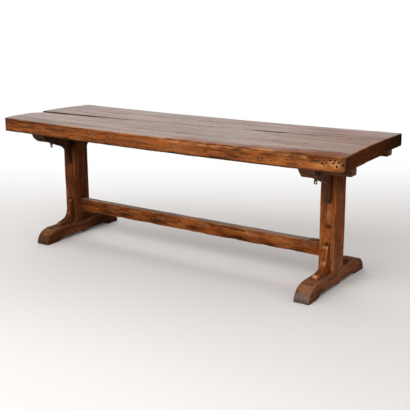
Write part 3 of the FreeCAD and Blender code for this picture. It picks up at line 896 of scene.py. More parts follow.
    def dirt(self, point: Vector, normal: Vector) -> float:
        """Painted shade below, dirt in the seam, darkening on the lower front arris and back of the right
        end.

        Args:
            point: a point of the top, in mm.
            normal: the way that the wood looks there.

        Returns:
            The share of dirt and painted shade.
        """
        if normal.z < UNDERSIDE:
            return self.heavy
        if self.off_seam(point) < self.seam_dirt:
            left = 1.0 if normal.z < LEVEL else self.seam_wiped
            return self.open_at(point.x) * left + (self.seam_deep if normal.z < STEEP else 0.0)
        if normal.y < FORWARD and point.z < self.upper - self.thickness[Face.FRONT] + self.arris_dirt:
            return self.heavy
        if normal.x > OUTWARD:
            grown = max(0.0, (point.y - self.end_dirt_from) / self.end_dirt_run)
            return self.end_dirt[0] + self.end_dirt[1] * grown
        return 0.0

    def marks(self) -> list[Mark]:
        """Bare and broken wood near the right front corner, stains on the front edge, wear on the top
        and painted shade on the back right corner.

        Returns:
            The marks, which both planks share.
        """
        front, upper = self.front, self.upper
        made = [Mark(Mask.WEAR, (1040, front, 722), (44, 24, 24), 0.75, 1.2),
                Mark(Mask.WEAR, (968, front, 712), (46, 24, 18), 0.5, 0.8),
                Mark(Mask.DUST, (1094, 18 + front, 722), (28, 60, 70), 0.8, 2.0),
                Mark(Mask.WEAR, (1094, 18 + front, 722), (28, 60, 70), -0.9),
                Mark(Mask.GRIME, (1094, 18 + front, 722), (28, 60, 70), 0.4)]
        for x in self.stains:
            made.append(Mark(Mask.GRIME, (x, front, 697 + 7 * sin(x)), (40, 20, 11), 0.55, 0.8))
        for x in self.handled:
            made.append(Mark(Mask.DUST, (x, front, upper), (200, 60 + x / 12, 30), -0.55))
        for x in self.bright:
            made.append(Mark(Mask.WEAR, (x, front, upper), (110, 9, 7), 0.7))
        for x in self.broken:
            made.append(Mark(Mask.GRIME, (x, front, upper - 3), (50, 10, 5), 0.7, 1.2))
            made.append(Mark(Mask.WEAR, (x + 20, front, upper - 14), (46, 8, 7), 0.8))
        for number in range(self.dents):
            place = (420 + 31 * number, front, 730 + 16 * sin(2.4 * number))
            made.append(Mark(Mask.GRIME, place, (13 + number % 3 * 6, 9, 4), 0.9, 0.8))
        for x, y in self.bare:
            made.append(Mark(Mask.DUST, (x, y, upper), (260, 60, 30), -0.3))
        made.append(Mark(Mask.DUST, (900, 0, upper), (620, 460, 30), -0.35))
        made.append(Mark(Mask.DUST, (-750, 180, upper), (900, 330, 30), 0.3))
        # painted shade on the back right corner
        made.append(Mark(Mask.GRIME, (1073, 383, 727), (30, 34, 70), 1.0))
        return made

    def plank(self, face: Face) -> bpy.types.Object:
        """Builds one plank.

        Args:
            face: front or back plank.

        Returns:
            The finished piece.
        """
        timber = Timber(f"top_plank_{face.word}", TOP_WALNUT, Grain.ALONG_TABLE, steps=self.steps,
                        wobble=0.9, rub=2.6, polish=0.55, dust=0.9, marks=self.marks(), dirt=self.dirt,
                        bend=lambda point: self.settle(face, point),
                        sheltered=lambda point: self.off_seam(point) < self.seam_shelter)
        timber.block((-1, -1, self.upper - self.thickness[face]), (1, 1, self.upper))
        for vert in timber.mesh.verts:
            vert.co.xy = self.corners[face, Side.of(vert.co.x)][0 if vert.co.y * face.value > 0 else 1]

        def at_seam(edge: bmesh.types.BMEdge) -> bool:
            """Whether both ends of an edge are at the seam."""
            return all(self.off_seam(vert.co) < self.seam_near for vert in edge.verts)

        upright = Grain.UPRIGHT.followed_by
        for side in Side:
            timber.ease(self.corner[face, side], lambda edge: upright(edge) and not at_seam(edge)
                        and edge.verts[0].co.x * side.value > 0)
        timber.ease(self.arris, lambda edge: not at_seam(edge) and not upright(edge))
        timber.ease(self.seam_arris, at_seam)
        timber.scribe()
        for x, z, size in self.worm_holes if face is Face.FRONT else ():
            timber.worm_hole((x, self.front, z), -ACROSS, size)
        for start, end in self.front_cracks if face is Face.FRONT else self.back_cracks:
            timber.crack((*start, self.upper), (*end, self.upper), UP)
        piece = timber.age().place()
        piece.data.materials.append(SAWN_END.material(Grain.ALONG_TABLE))
        for polygon in piece.data.polygons:
            polygon.material_index = 1 if abs(polygon.normal.x) > self.end_facing else 0
        return piece

    def build(self) -> None:
        """Builds both planks."""
        for face in Face:
            self.plank(face)


@dataclass(frozen=True)
class Knee:
    """Outline of a knee bracket, in mm from its seat and its post."""

    name: str   # first part of the node's name
    up: int   # the way that it rises from its seat
    reach: float   # length of its arm along the seat
    toe: float   # depth of the arm's end
    rise: float   # length of its shank along the post
    end: float   # depth of the shank's end
    corner: Pair   # reach and rise of the inner corner
    tangent: float   # length that the corner's hollow takes off both sides
    nails: Pair   # shares of the arm and of the shank at which its nails are

    def arm_depth(self, reach: float) -> float:
        """Depth of the arm at a distance from the post."""
        return self.toe + (self.corner[1] - self.toe) * (self.reach - reach) / (self.reach - self.corner[0])

    def shank_depth(self, rise: float) -> float:
        """Depth of the shank at a distance from the seat."""
        return self.end + (self.corner[0] - self.end) * (self.rise - rise) / (self.rise - self.corner[1])


LOWER_KNEE = Knee("lower_bracket", up=1, reach=124.0, toe=16.0, rise=145.0, end=15.0, corner=(40.0, 38.0),
                  tangent=30.0, nails=(0.84, 0.86))
UPPER_KNEE = Knee("upper_bracket", up=-1, reach=158.0, toe=15.0, rise=168.0, end=16.0, corner=(30.0, 64.0),
                  tangent=32.0, nails=(0.60, 0.92))
PARED_KNEE = replace(UPPER_KNEE, end=4.0)


@dataclass
class Trestle:
    """One trestle: bearer, post, foot, knee brackets, cleats, pegs and wedges. Sizes in mm."""

    side: Side
    post_x: float   # place of the post along the table
    wedge: Point   # thickness of the stretcher's wedge at its head and at its tip, and its length
    seam_step: float   # place across the table of the step in the bearer under the seam
    cleat_end: dict[Face, float]   # outer end of each cleat along the table
    cleat_spread: float   # distance of the cleats from their middle
    swell: float   # how far the front end of the bearer is cut back at swell_drop
    nose_wear: float   # how pale the front nose of the foot is rubbed
    foot_shade: float   # strength of the painted shade on the back half of the foot's right face
    knee_wear: float   # how pale the front lower bracket is rubbed, with painted highlights at its end, crease and toe
    # Height of the underside of each plank.
    top: dict[Face, float] = field(default_factory=lambda: {Face.FRONT: 682.0, Face.BACK: 693.0})
    bearer: Point = (324.0, 43.0, 60.0)   # half length, half width and height of the bearer
    bearer_lip: float = 5.0   # depth of its upright ends
    bearer_splay: float = 46.0   # how far its underside is shorter at each end
    bearer_round: float = 8.0   # rounding of the corners below
    swell_drop: float = 34.0   # depth under the top of the corner that rounds its front end
    swell_round: float = 9.0   # rounding of that corner
    post: Pair = (43.0, 60.0)   # half width and half depth of the post
    foot_half: Pair = (326.0, 43.0)   # half length and half width of the foot
    foot_height: float = 82.0   # its height under the post
    foot_step: float = 4.0   # how much lower its noses are
    foot_pad: float = 96.0   # length of its pads
    foot_arch: float = 18.0   # height of its arch
    foot_ogee: float = 34.0   # length of the slope from pad to arch
    foot_round: float = 13.0   # rounding of that slope
    nose_flat: float = 2.0   # height of the nose that isn't rounded
    boss_half: float = 24.0   # half length of the boss in the arch
    boss_drop: float = 10.0   # its height
    hollow_rise: float = 5.0   # depth of the hollow before it
    bracket_half: float = 15.0   # half thickness of the brackets
    stretcher_span: Pair = (152.0, 226.0)   # lower and upper side of the stretcher
    tenon_half: float = 19.0   # half width of its tenon and of its wedge
    fit: float = 0.4   # play round that tenon
    wedge_gap: float = 0.2   # play under the wedge
    wedge_back: float = 0.5   # how far the wedge's head stands back in the post
    foot_wedge_half: Pair = (16.0, 3.5)   # half sizes of a foot wedge along and across the table
    foot_wedge_tip: float = 1.0   # half its thickness at the tip
    foot_wedge_span: Pair = (8.0, 52.0)   # its lower and upper end
    foot_wedge_spread: float = 22.0   # its distance from the middle of the post
    cleat_half: float = 25.0   # half width of the cleats
    cleat_depth: float = 40.0   # their depth
    cleat_middle: float = 28.0   # middle between them across the table
    cleat_gap: float = 0.2   # play between cleat and bearer
    cleat_round: float = 9.0   # rounding of their outer lower ends
    cleat_nails: Pair = (0.28, 0.72)   # shares of their length at which their nails are
    arris: float = 3.0   # easing of bearer and post
    fine_arris: float = 2.5   # easing of feet, brackets and cleats
    wedge_arris: float = 0.6   # easing of the wedges of the stretcher
    foot_wedge_arris: float = 0.5   # easing of the wedges of the foot
    peg_radius: float = 6.0   # radius of the pegs of the bearer
    peg_proud: float = 0.8   # how far their heads stand out
    peg_spread: float = 22.0   # distance of the pegs of the tenon from its middle
    peg_rise: float = 23.0   # their height above the underside of the bearer
    # Shares of the bearer's length at which the pegs of the top are.
    top_pegs: Sequence[float] = (-0.40, -0.26, 0.28, 0.40)
    top_peg_stagger: float = 26.66   # how far they stand to either side along the table
    top_peg_bite: float = 40.0   # how far they go into the planks
    # Radius, length and height above the stretcher of the peg against the wedge.
    wedge_peg: Point = (8.5, 42.5, 12.0)
    wedge_peg_proud: float = 1.5   # how far its head stands out
    peg_flats: int = 11   # flats that the knife left round a peg
    nail_bite: float = 28.0   # how far nails go into the wood behind
    nail_flats: int = 6   # flats that the hammer left round a nail
    dark_from: float = 430.0   # height at which the painted shade under the top sets in
    dark_run: float = 200.0   # height over which it grows
    splash: float = 26.0   # height of the darkening off the floor
    wiped: Pair = (240.0, 450.0)   # heights between which the post gets no painted shade beside the brackets
    wiped_half: float = 26.0   # half the width that the brackets shade elsewhere
    coated: float = 0.6   # share of painted shade on undersides and under the top, and of darkening near the floor
    outward_dirt: float = 0.24   # share of painted shade on the faces that look along the table
    knee_dirt: float = 0.45   # share of painted shade beside the brackets
    back_dirt: float = 0.4   # share of painted shade on the brackets behind
    wedge_dirt: float = 0.9   # share of painted shade on the sides of the stretcher's wedge
    knee_polish: Pair = (0.12, 0.6)   # how pale the arrises of most brackets are, and of marked ones
    post_rubbed: float = 8.0   # depth to which the front and back of the post are rubbed

    @property
    def bearer_low(self) -> float:
        """Height of the underside of the bearer."""
        return self.top[Face.FRONT] - self.bearer[2]

    @property
    def outer(self) -> float:
        """Place along the table of the outer face of the post."""
        return self.post_x + self.side.value * self.post[0]

    def grime(self, point: Vector, normal: Vector) -> float:
        """Painted shade under the top, on undersides and sides, and beside the brackets; darkening near the
        floor.

        Args:
            point: a point of the post or the foot, in mm.
            normal: the way that the wood looks there.

        Returns:
            The share of painted shade and darkening.
        """
        under_top = max(0.0, (point.z - self.dark_from) / self.dark_run)
        low = max(0.0, 1 - point.z / self.splash)
        at_post = abs(point.y) < self.post[1] + 2 and abs(point.x - self.post_x) < self.wiped_half
        beside_knee = at_post and normal.y * point.y > 0 and not self.wiped[0] < point.z < self.wiped[1]
        outward = self.outward_dirt if abs(normal.x) > OUTWARD and point.z > self.foot_height else 0.0
        return (self.coated * under_top + self.coated * low + outward
                + (self.coated if normal.z < UNDERSIDE else 0.0) + (self.knee_dirt if beside_knee else 0.0))

    def build_bearer(self) -> bpy.types.Object:
        """Builds the cross bearer, its ends splayed under.

        Returns:
            The finished piece.
        """
        half, wide, _ = self.bearer
        front, back = self.top[Face.FRONT], self.top[Face.BACK]
        outline = [(-half, front), (self.seam_step, front), (self.seam_step, back), (half, back),
                   (half, back - self.bearer_lip), (half - self.bearer_splay, self.bearer_low),
                   (self.bearer_splay - half, self.bearer_low), (self.swell - half, front - self.swell_drop),
                   (-half, front - self.bearer_lip)]
        rounds = {5: self.bearer_round, 6: self.bearer_round, 7: self.swell_round}
        timber = Timber(f"bearer_{self.side.word}", BEARER_WOOD[self.side], Grain.ACROSS_TABLE,
                        steps=(10, 9, 9), rub=2.0, dust=0.0)
        timber.sawn_to(outline, rounds, self.post_x - wide, self.post_x + wide)
        return timber.ease(self.arris).scribe().age().place()

    def wedge_height(self, inwards: float) -> float:
        """Thickness of the stretcher's wedge at a distance inwards from the outer face of the post."""
        thick, tip, reach = self.wedge
        return thick + (tip - thick) * inwards / reach

    def post_marks(self) -> list[Mark]:
        """Wear, dirt and painted shade of the post, which are different on the two trestles.

        Returns:
            The marks.
        """
        x, right, front = self.post_x, self.post_x + self.post[0], -self.post[1]
        if self.side is Side.RIGHT:
            return [Mark(Mask.WEAR, (x + 8, front, 400), (22, 9, 60), 0.28),
                    Mark(Mask.GRIME, (x + 8, front, 330), (26, 9, 12), 0.9),
                    Mark(Mask.DUST, (right, 0, 110), (20, 80, 170), 0.6)]
        # Painted shade low on the left post's right face and high on its front, towards the right.
        return [Mark(Mask.GRIME, (right, 0, 100), (20, 90, 60), 0.6),
                Mark(Mask.GRIME, (right, front, 610), (50, 14, 110), 0.6)]

    def build_post(self) -> bpy.types.Object:
        """Builds the post, with its through mortise for the stretcher.

        Returns:
            The finished piece.
        """
        wide, deep = self.post
        left, right = self.post_x - wide, self.post_x + wide
        timber = Timber(f"post_{self.side.word}", POST_WOOD[self.side], Grain.UPRIGHT, steps=(8, 8, 8),
                        wobble=0.9, rub=1.2, polish=0.3, dirt=self.grime, marks=self.post_marks(),
                        sheltered=lambda point: abs(point.y) < deep - self.post_rubbed)
        timber.block((left, -deep, self.foot_height), (right, deep, self.bearer_low))
        low, high = self.stretcher_span
        outer_roof = high + self.fit + self.wedge_height(0.0)
        inner_roof = high + self.fit + self.wedge_height(2 * wide)
        right_roof = outer_roof if self.side is Side.RIGHT else inner_roof
        slope = self.side.value * (outer_roof - inner_roof) / (2 * wide)
        hole = self.tenon_half + self.fit
        timber.mortise((left, -hole, low - self.fit), (right, hole, right_roof), slope)
        timber.ease(self.arris, lambda edge: Grain.UPRIGHT.followed_by(edge)
                    and all(abs(vert.co.y) > deep - 1 for vert in edge.verts))
        return timber.scribe().age().place()

    def build_wedge(self) -> bpy.types.Object:
        """Builds the wedge between the stretcher's tenon and the roof of its mortise.

        Returns:
            The finished piece.
        """
        thick, _, reach = self.wedge
        base = self.stretcher_span[1] + self.wedge_gap
        timber = Timber(f"stretcher_wedge_{self.side.word}", WEDGE_OAK, Grain.ALONG_TABLE, steps=(8, 8, 8),
                        wobble=0.3, rub=0.6, polish=0.2, dust=0.2,
                        dirt=lambda point, normal: self.wedge_dirt if abs(normal.y) > STEEP else 0.0)
        head = self.outer - self.side.value * self.wedge_back
        tip = self.outer - self.side.value * reach
        timber.block((min(head, tip), -self.tenon_half, base),
                     (max(head, tip), self.tenon_half, base + thick))
        for vert in timber.mesh.verts:
            if vert.co.z > base + 1:
                vert.co.z = base + self.wedge_height(abs(self.outer - vert.co.x))
        return timber.ease(self.wedge_arris).scribe().age().place()

    def boss(self, point: Vector) -> Vector:
        """Drop of the small boss that the adze left in the middle of the arch, and the hollow before it.

        Args:
            point: a point of the foot, in mm.

        Returns:
            Its move, in mm.
        """
        if point.z > self.foot_arch + 1:
            return Vector((0, 0, 0))
        drop = self.boss_drop * max(0.0, 1 - (point.y / self.boss_half) ** 2)
        rise = self.hollow_rise * max(0.0, 1 - ((point.y + 2 * self.boss_half) / (2 * self.boss_half)) ** 2)
        return Vector((0, 0, rise - drop))

    def build_foot(self) -> bpy.types.Object:
        """Builds the sledge foot with its round noses, pads and low arch.

        Returns:
            The finished piece.
        """
        half, wide = self.foot_half
        x, nose = self.post_x, self.foot_height - self.foot_step
        pad = half - self.foot_pad
        arch = pad - self.foot_ogee
        outline = [(-half, 0), (-pad, 0), (-arch, self.foot_arch), (arch, self.foot_arch), (pad, 0),
                   (half, 0), (half, nose), (half - nose, nose), (half - nose, self.foot_height),
                   (nose - half, self.foot_height), (nose - half, nose), (-half, nose)]
        rounds = dict.fromkeys((1, 2, 3, 4), self.foot_round) | dict.fromkeys((6, 11), nose - self.nose_flat)
        marks = [Mark(Mask.WEAR, (x, 40 - half, nose), (60, 110, 34), self.nose_wear),
                 Mark(Mask.GRIME, (x, nose - half, nose), (60, 6, 6), 0.75),
                 # painted shade on the back half of the foot's right face
                 Mark(Mask.GRIME, (x + wide, 200, 45), (20, 190, 60), self.foot_shade)]
        timber = Timber(f"foot_{self.side.word}", FOOT_WOOD[self.side], Grain.ACROSS_TABLE, wobble=0.9,
                        rub=2.2, polish=0.4, dust=0.2, dirt=self.grime, bend=self.boss, marks=marks)
        timber.sawn_to(outline, rounds, x - wide, x + wide)
        return timber.ease(self.fine_arris).scribe().age().place()

    def build_foot_wedges(self) -> bpy.types.Object:
        """Builds the two wedges that spread the post's lower tenon, seen only from below.

        Returns:
            The finished piece.
        """
        timber = Timber(f"foot_wedges_{self.side.word}", PEG_OAK, Grain.UPRIGHT, steps=(8, 8, 8),
                        wobble=0.2, rub=0.3)
        low, high = self.foot_wedge_span
        wide, thick = self.foot_wedge_half
        tip = self.foot_wedge_tip
        for face in Face:
            middle = face.value * self.foot_wedge_spread
            timber.block((self.post_x - wide, middle - thick, low),
                         (self.post_x + wide, middle + thick, high))
            for vert in timber.mesh.verts:
                if vert.co.z > high - 1 and vert.co.y * face.value > 0:
                    vert.co.y = middle + (tip if vert.co.y > middle else -tip)
        return timber.ease(self.foot_wedge_arris).scribe().age().place()

    def knees(self, face: Face) -> tuple[Knee, Knee]:
        """Upper and lower knee of one face: the left front upper one is pared to a thin end."""
        pared = self.side is Side.LEFT and face is Face.FRONT
        return PARED_KNEE if pared else UPPER_KNEE, LOWER_KNEE

    def knee_seat(self, knee: Knee) -> float:
        """Height of the face that a knee sits on."""
        return self.foot_height if knee.up > 0 else self.bearer_low

    def build_bracket(self, knee: Knee, face: Face) -> bpy.types.Object:
        """Builds one knee bracket.

        Args:
            knee: its outline.
            face: front or back of the post.

        Returns:
            The finished piece.
        """
        x, seat, root = self.post_x, self.knee_seat(knee), self.post[1]
        corners = [(0, 0), (knee.reach, 0), (knee.reach, knee.toe), knee.corner, (knee.end, knee.rise),
                   (0, knee.rise)]
        outline = [(face.value * (root + reach), seat + knee.up * rise) for reach, rise in corners]
        wood = (BEARER_WOOD if knee.up < 0 else KNEE_WOOD)[self.side]
        marks = []
        # Wear and painted highlights at the shank's end, the crease and the toe of the front lower brackets.
        if knee is LOWER_KNEE and face is Face.FRONT:
            rubbed_and_lit = ((knee.end, knee.rise), (knee.corner[0] + 3, knee.corner[1] + 26),
                      (knee.reach, knee.toe))
            for reach, rise in rubbed_and_lit:
                place = (x, face.value * (root + reach), seat + rise)
                marks.append(Mark(Mask.WEAR, place, (20, 17, 15), self.knee_wear))
            # Painted shade on the front lower bracket, the stronger the less it is rubbed.
            marks.append(Mark(Mask.GRIME, (x, face.value * (root + 40), seat + 50), (40, 90, 120),
                              max(0.0, 1.0 - self.knee_wear)))
        timber = Timber(f"{knee.name}_{self.side.word}_{face.word}", wood, Grain.UPRIGHT, steps=(6, 7, 7),
                        rub=2.0, polish=self.knee_polish[bool(marks)], dust=0.2, marks=marks,
                        dirt=lambda point, normal: self.back_dirt if face is Face.BACK else 0.0)
        timber.sawn_to(outline, {3: knee.tangent}, x - self.bracket_half, x + self.bracket_half)
        return timber.ease(self.fine_arris).scribe().age().place()

    def cleat_y(self, face: Face) -> float:
        """Place across the table of the middle of a cleat."""
        return self.cleat_middle + face.value * self.cleat_spread

    def build_cleat(self, face: Face) -> bpy.types.Object:
        """Builds the short batten under the overhanging end.

        Args:
            face: under the front or the back plank.

        Returns:
            The finished piece.
        """
        middle, outer, high = self.cleat_y(face), self.cleat_end[face], self.top[face]
        inner = self.post_x + self.side.value * (self.bearer[1] + self.cleat_gap)
        timber = Timber(f"cleat_{self.side.word}_{face.word}", BEARER_WOOD[self.side], Grain.ALONG_TABLE,
                        rub=2.2)
        timber.block((min(inner, outer), middle - self.cleat_half, high - self.cleat_depth),
                     (max(inner, outer), middle + self.cleat_half, high))
        timber.ease(self.cleat_round, lambda edge: all(
            abs(vert.co.x - outer) < 1 and vert.co.z < high - self.cleat_depth / 2 for vert in edge.verts))
        return timber.ease(self.fine_arris).scribe().age().place()

    def whittle(self, node: str, grain: Grain, radius: float,
                pegs: Sequence[tuple[Vector, Vector, float]]) -> None:
        """Builds the pegs of one node, whittled to flats.

        Args:
            node: the CAD node that they stand for.
            grain: the way that they run.
            radius: their radius.
            pegs: start, direction and length of each.
        """
        mesh = bmesh.new()
        for start, ahead, length in pegs:
            profile = [(0, 0), (radius * 0.86, 0.2), (radius, 1.6), (radius * 0.97, length - 1.5),
                       (radius * 0.8, length), (0, length)]
            turn_piece(mesh, profile, start, ahead, self.peg_flats)
        set_piece(mesh, node, PEG_OAK.material(grain), TABLE_BODY)

    def build_pegs(self) -> None:
        """Builds the pegs of bearer, tenon and wedge."""
        word, x = self.side.word, self.post_x
        half, wide, tall = self.bearer
        top_pegs = []
        for number, share in enumerate(self.top_pegs):
            start = (x + self.top_peg_stagger * (-1) ** number, 2 * half * share,
                     self.bearer_low - self.peg_proud)
            top_pegs.append((Vector(start), UP, tall + self.top_peg_bite))
        self.whittle(f"top_pegs_{word}", Grain.UPRIGHT, self.peg_radius, top_pegs)
        bearer_pegs = []
        for face in Face:
            start = (x - wide - self.peg_proud, face.value * self.peg_spread,
                     self.bearer_low + self.peg_rise)
            bearer_pegs.append((Vector(start), ALONG, 2 * wide + 2 * self.peg_proud))
        self.whittle(f"bearer_pegs_{word}", Grain.ALONG_TABLE, self.peg_radius, bearer_pegs)
        radius, length, rise = self.wedge_peg
        start = Vector((x, -self.post[1] - self.wedge_peg_proud, self.stretcher_span[1] + rise))
        self.whittle(f"wedge_peg_{word}", Grain.ACROSS_TABLE, radius, [(start, ACROSS, length)])

    def forge_nails(self, node: str, nails: Sequence[tuple[Vector, Vector, float]]) -> None:
        """Builds the forged nails of one node, with rose heads.

        Args:
            node: the CAD node that they stand for.
            nails: the place of the head on the wood, the way in and the length of each.
        """
        mesh = bmesh.new()
        for seat, ahead, length in nails:
            profile = [(0, -1.6), (2.2, -1.0), (4.4, 0.4), (2.4, 1.0), (1.9, length * 0.7), (0, length)]
            turn_piece(mesh, profile, seat, ahead, self.nail_flats)
        set_piece(mesh, node, IRON.material(), TABLE_BODY)

    def build_nails(self) -> None:
        """Builds the nails of brackets and cleats."""
        word, x, root = self.side.word, self.post_x, self.post[1]
        bracket_nails, cleat_nails = [], []
        for face in Face:
            for knee in self.knees(face):
                seat = self.knee_seat(knee)
                reach, rise = knee.reach * knee.nails[0], knee.rise * knee.nails[1]
                thick, depth = knee.arm_depth(reach), knee.shank_depth(rise)
                bracket_nails.append((Vector((x, face.value * (root + depth), seat + knee.up * rise)),
                                      Vector((0, -face.value, 0)), depth + self.nail_bite))
                bracket_nails.append((Vector((x, face.value * (root + reach), seat + knee.up * thick)),
                                      Vector((0, 0, -knee.up)), thick + self.nail_bite))
            inner = x + self.side.value * self.bearer[1]
            for share in self.cleat_nails:
                place = (inner + (self.cleat_end[face] - inner) * share, self.cleat_y(face),
                         self.top[face] - self.cleat_depth)
                cleat_nails.append((Vector(place), UP, self.cleat_depth + self.nail_bite))
        self.forge_nails(f"bracket_nails_{word}", bracket_nails)
        self.forge_nails(f"cleat_nails_{word}", cleat_nails)

    def build(self) -> None:
        """Builds every piece of the trestle."""
        self.build_bearer()
        self.build_post()
        self.build_wedge()
        self.build_foot()
        self.build_foot_wedges()
        for face in Face:
            for knee in self.knees(face):
                self.build_bracket(knee, face)
            self.build_cleat(face)
        self.build_pegs()
        self.build_nails()


@dataclass
class HangingRing:
    """The staple under a front upper bracket and the oval ring that swings on it. Sizes in mm."""

    side: Side   # the trestle that it hangs on
    x: float   # its place along the table
    y: float = -206.15   # its place across the table
    z: float = 592.464   # height of the staple's lowest wire
    # Half the thickness of the wire, which is 2 in the CAD and reads as about 3 in the photograph.
    wire: float = 3.0
    staple_bend: float = 6.5   # bend of the staple, to the middle of its wire
    staple_leg: float = 17.5   # length of its legs
    ring_bend: float = 6.5   # bend of the ring's ends
    ring_straight: float = 7.0   # length of its straight sides
    play: float = 0.3   # gap between ring and staple
    facets: int = 12   # flats round the wire
    steps: int = 12   # flats round a half turn
    dents: float = 0.16   # depth of the hammer's dents
    dent_size: float = 3.0   # size of one dent

    @property
    def hang(self) -> Vector:
        """Middle of the staple's lowest wire, where the ring hangs."""
        return Vector((self.x, self.y, self.z))

    def wire_end(self, mesh: bmesh.types.BMesh, place: Vector) -> list:
        """Starts a wire that runs up and down, as a ring of verts and edges."""
        made = bmesh.ops.create_circle(mesh, segments=self.facets, radius=self.wire,
                                       matrix=Matrix.Translation(place))
        return made["verts"] + list({edge for vert in made["verts"] for edge in vert.link_edges})

    def run(self, mesh: bmesh.types.BMesh, end: list, move: Vector) -> list:
        """Draws a wire on in a straight line.

        Args:
            mesh: the mesh of the wire.
            end: verts and edges of its end.
            move: how far and which way it is drawn.

        Returns:
            Verts and edges of its new end.
        """
        grown = bmesh.ops.extrude_edge_only(mesh, edges=only(end, bmesh.types.BMEdge))["geom"]
        bmesh.ops.translate(mesh, verts=only(grown, bmesh.types.BMVert), vec=move)
        return [item for item in grown if not isinstance(item, bmesh.types.BMFace)]

    def half_turn(self, mesh: bmesh.types.BMesh, end: list, middle: Vector, axis: Vector) -> list:
        """Bends a wire back on itself about a point, and returns its new end."""
        made = bmesh.ops.spin(mesh, geom=end, cent=middle, axis=axis, angle=pi, steps=self.steps,
                              use_duplicate=False)
        return [item for item in made["geom_last"] if not isinstance(item, bmesh.types.BMFace)]

    def hammer(self, mesh: bmesh.types.BMesh) -> None:
        """Joins the ends of the wire and leaves it uneven, as the hammer did.

        Args:
            mesh: the mesh of the wire.
        """
        bmesh.ops.remove_doubles(mesh, verts=mesh.verts[:], dist=WIRE_WELD)
        bmesh.ops.recalc_face_normals(mesh, faces=mesh.faces[:])
        mesh.normal_update()
        for vert in mesh.verts:
            vert.co += vert.normal * self.dents * noise.noise(vert.co / self.dent_size)

    def build_staple(self) -> bpy.types.Object:
        """Builds the staple: two legs up into the bracket and a half ring below.

        Returns:
            The finished piece, which rides on the table.
        """
        mesh = bmesh.new()
        bend, leg = self.staple_bend, UP * self.staple_leg
        end = self.wire_end(mesh, self.hang + Vector((0, -bend, bend)) + leg)
        bmesh.ops.edgeloop_fill(mesh, edges=only(end, bmesh.types.BMEdge))
        end = self.run(mesh, end, -leg)
        end = self.half_turn(mesh, end, self.hang + UP * bend, ALONG)
        end = self.run(mesh, end, leg)
        bmesh.ops.edgeloop_fill(mesh, edges=only(end, bmesh.types.BMEdge))
        self.hammer(mesh)
        return set_piece(mesh, f"ring_staple_{self.side.word}", IRON.material(), TABLE_BODY)

    def build_ring(self) -> bpy.types.Object:
        """Builds the oval ring, which hangs on the lowest wire of the staple.

        Returns:
            The finished piece, which rides on its own body.
        """
        mesh = bmesh.new()
        bend, straight = self.ring_bend, UP * self.ring_straight
        upper = self.hang + UP * (2 * self.wire + self.play - bend)
        lower = upper - straight
        end = self.wire_end(mesh, lower - ALONG * bend)
        end = self.run(mesh, end, straight)
        end = self.half_turn(mesh, end, upper, ACROSS)
        end = self.run(mesh, end, -straight)
        self.half_turn(mesh, end, lower, ACROSS)
        self.hammer(mesh)
        word = self.side.word
        return set_piece(mesh, f"drop_ring_{word}", IRON.material(), f"ring_{word}")

    def build(self) -> None:
        """Builds staple and ring."""
        self.build_staple()
        self.build_ring()


@dataclass
class Stretcher:
    """The long rail that ties the trestles together, with a tenon at each end. Sizes in mm."""

    ends: Pair = (-841.0, 828.0)   # its shoulders along the table
    half: float = 25.0   # half its width
    tenon_half: float = 19.0   # half the width of its tenons
    tenon_reach: float = 85.5   # their length
    level: Pair = (152.0, 226.0)   # its lower and upper side
    arris: float = 3.0   # easing of its long arrises
    # Place along and height of the knots of the front face.
    knots: Sequence[Pair] = ((-75, 198), (91, 192), (205, 196))
    patches: Sequence[float] = (-640, -470, -255, 20, 330, 520, 690)   # places along it of its dark patches
    # Start and end along the table and in height, of the cracks of the front face.
    cracks: Sequence[tuple[Pair, Pair]] = (
        ((-700, 186), (-360, 192)), ((-330, 176), (60, 182)), ((240, 205), (560, 211)),
        ((600, 190), (800, 196)))

    def marks(self) -> list[Mark]:
        """Knots and dark patches of the front face, and hollows along its lower edge.

        Returns:
            The marks.
        """
        front = -self.half
        made = [Mark(Mask.HOLE, (x, front, z), (13, 10, 8), 0.8, 1.0) for x, z in self.knots]
        for x in self.patches:
            made.append(Mark(Mask.GRIME, (x, front, 168 + 9 * sin(x)), (70, 16, 17), 0.75, 1.0))
            made.append(Mark(Mask.WEAR, (x + 70, front, 205 + 8 * cos(x)), (60, 14, 14), 0.25))
            made.append(Mark(Mask.GRIME, (x - 40, front, self.level[0]), (34, 20, 8), 0.8, 2.6))
        made.append(Mark(Mask.GRIME, (self.ends[0], front, 189), (125, 16, 70), 0.6))
        return made

    def build(self) -> bpy.types.Object:
        """Builds the rail.

        Returns:
            The finished piece.
        """
        timber = Timber("stretcher", FRAME_WALNUT, Grain.ALONG_TABLE, wobble=1.2, rub=2.6, dust=1.0,
                        marks=self.marks(),
                        sheltered=lambda point: not self.ends[0] < point.x < self.ends[1])
        timber.block((self.ends[0], -self.half, self.level[0]), (self.ends[1], self.half, self.level[1]))
        for y in (-self.tenon_half, self.tenon_half):
            timber.cut(ACROSS * y, ACROSS)
        for side in Side:
            cheek = [face for face in timber.facing(ALONG * side.value)
                     if abs(face.calc_center_median().y) < self.tenon_half]
            timber.draw_out(cheek, (side.value * self.tenon_reach, 0, 0))
            bmesh.ops.delete(timber.mesh, geom=cheek, context="FACES_ONLY")
        timber.ease(self.arris, lambda edge: Grain.ALONG_TABLE.followed_by(edge)
                    and all(abs(vert.co.y) > self.half - 1 for vert in edge.verts))
        timber.scribe()
        for (x_start, z_start), (x_end, z_end) in self.cracks:
            timber.crack((x_start, -self.half, z_start), (x_end, -self.half, z_end), -ACROSS)
        return timber.age().place()


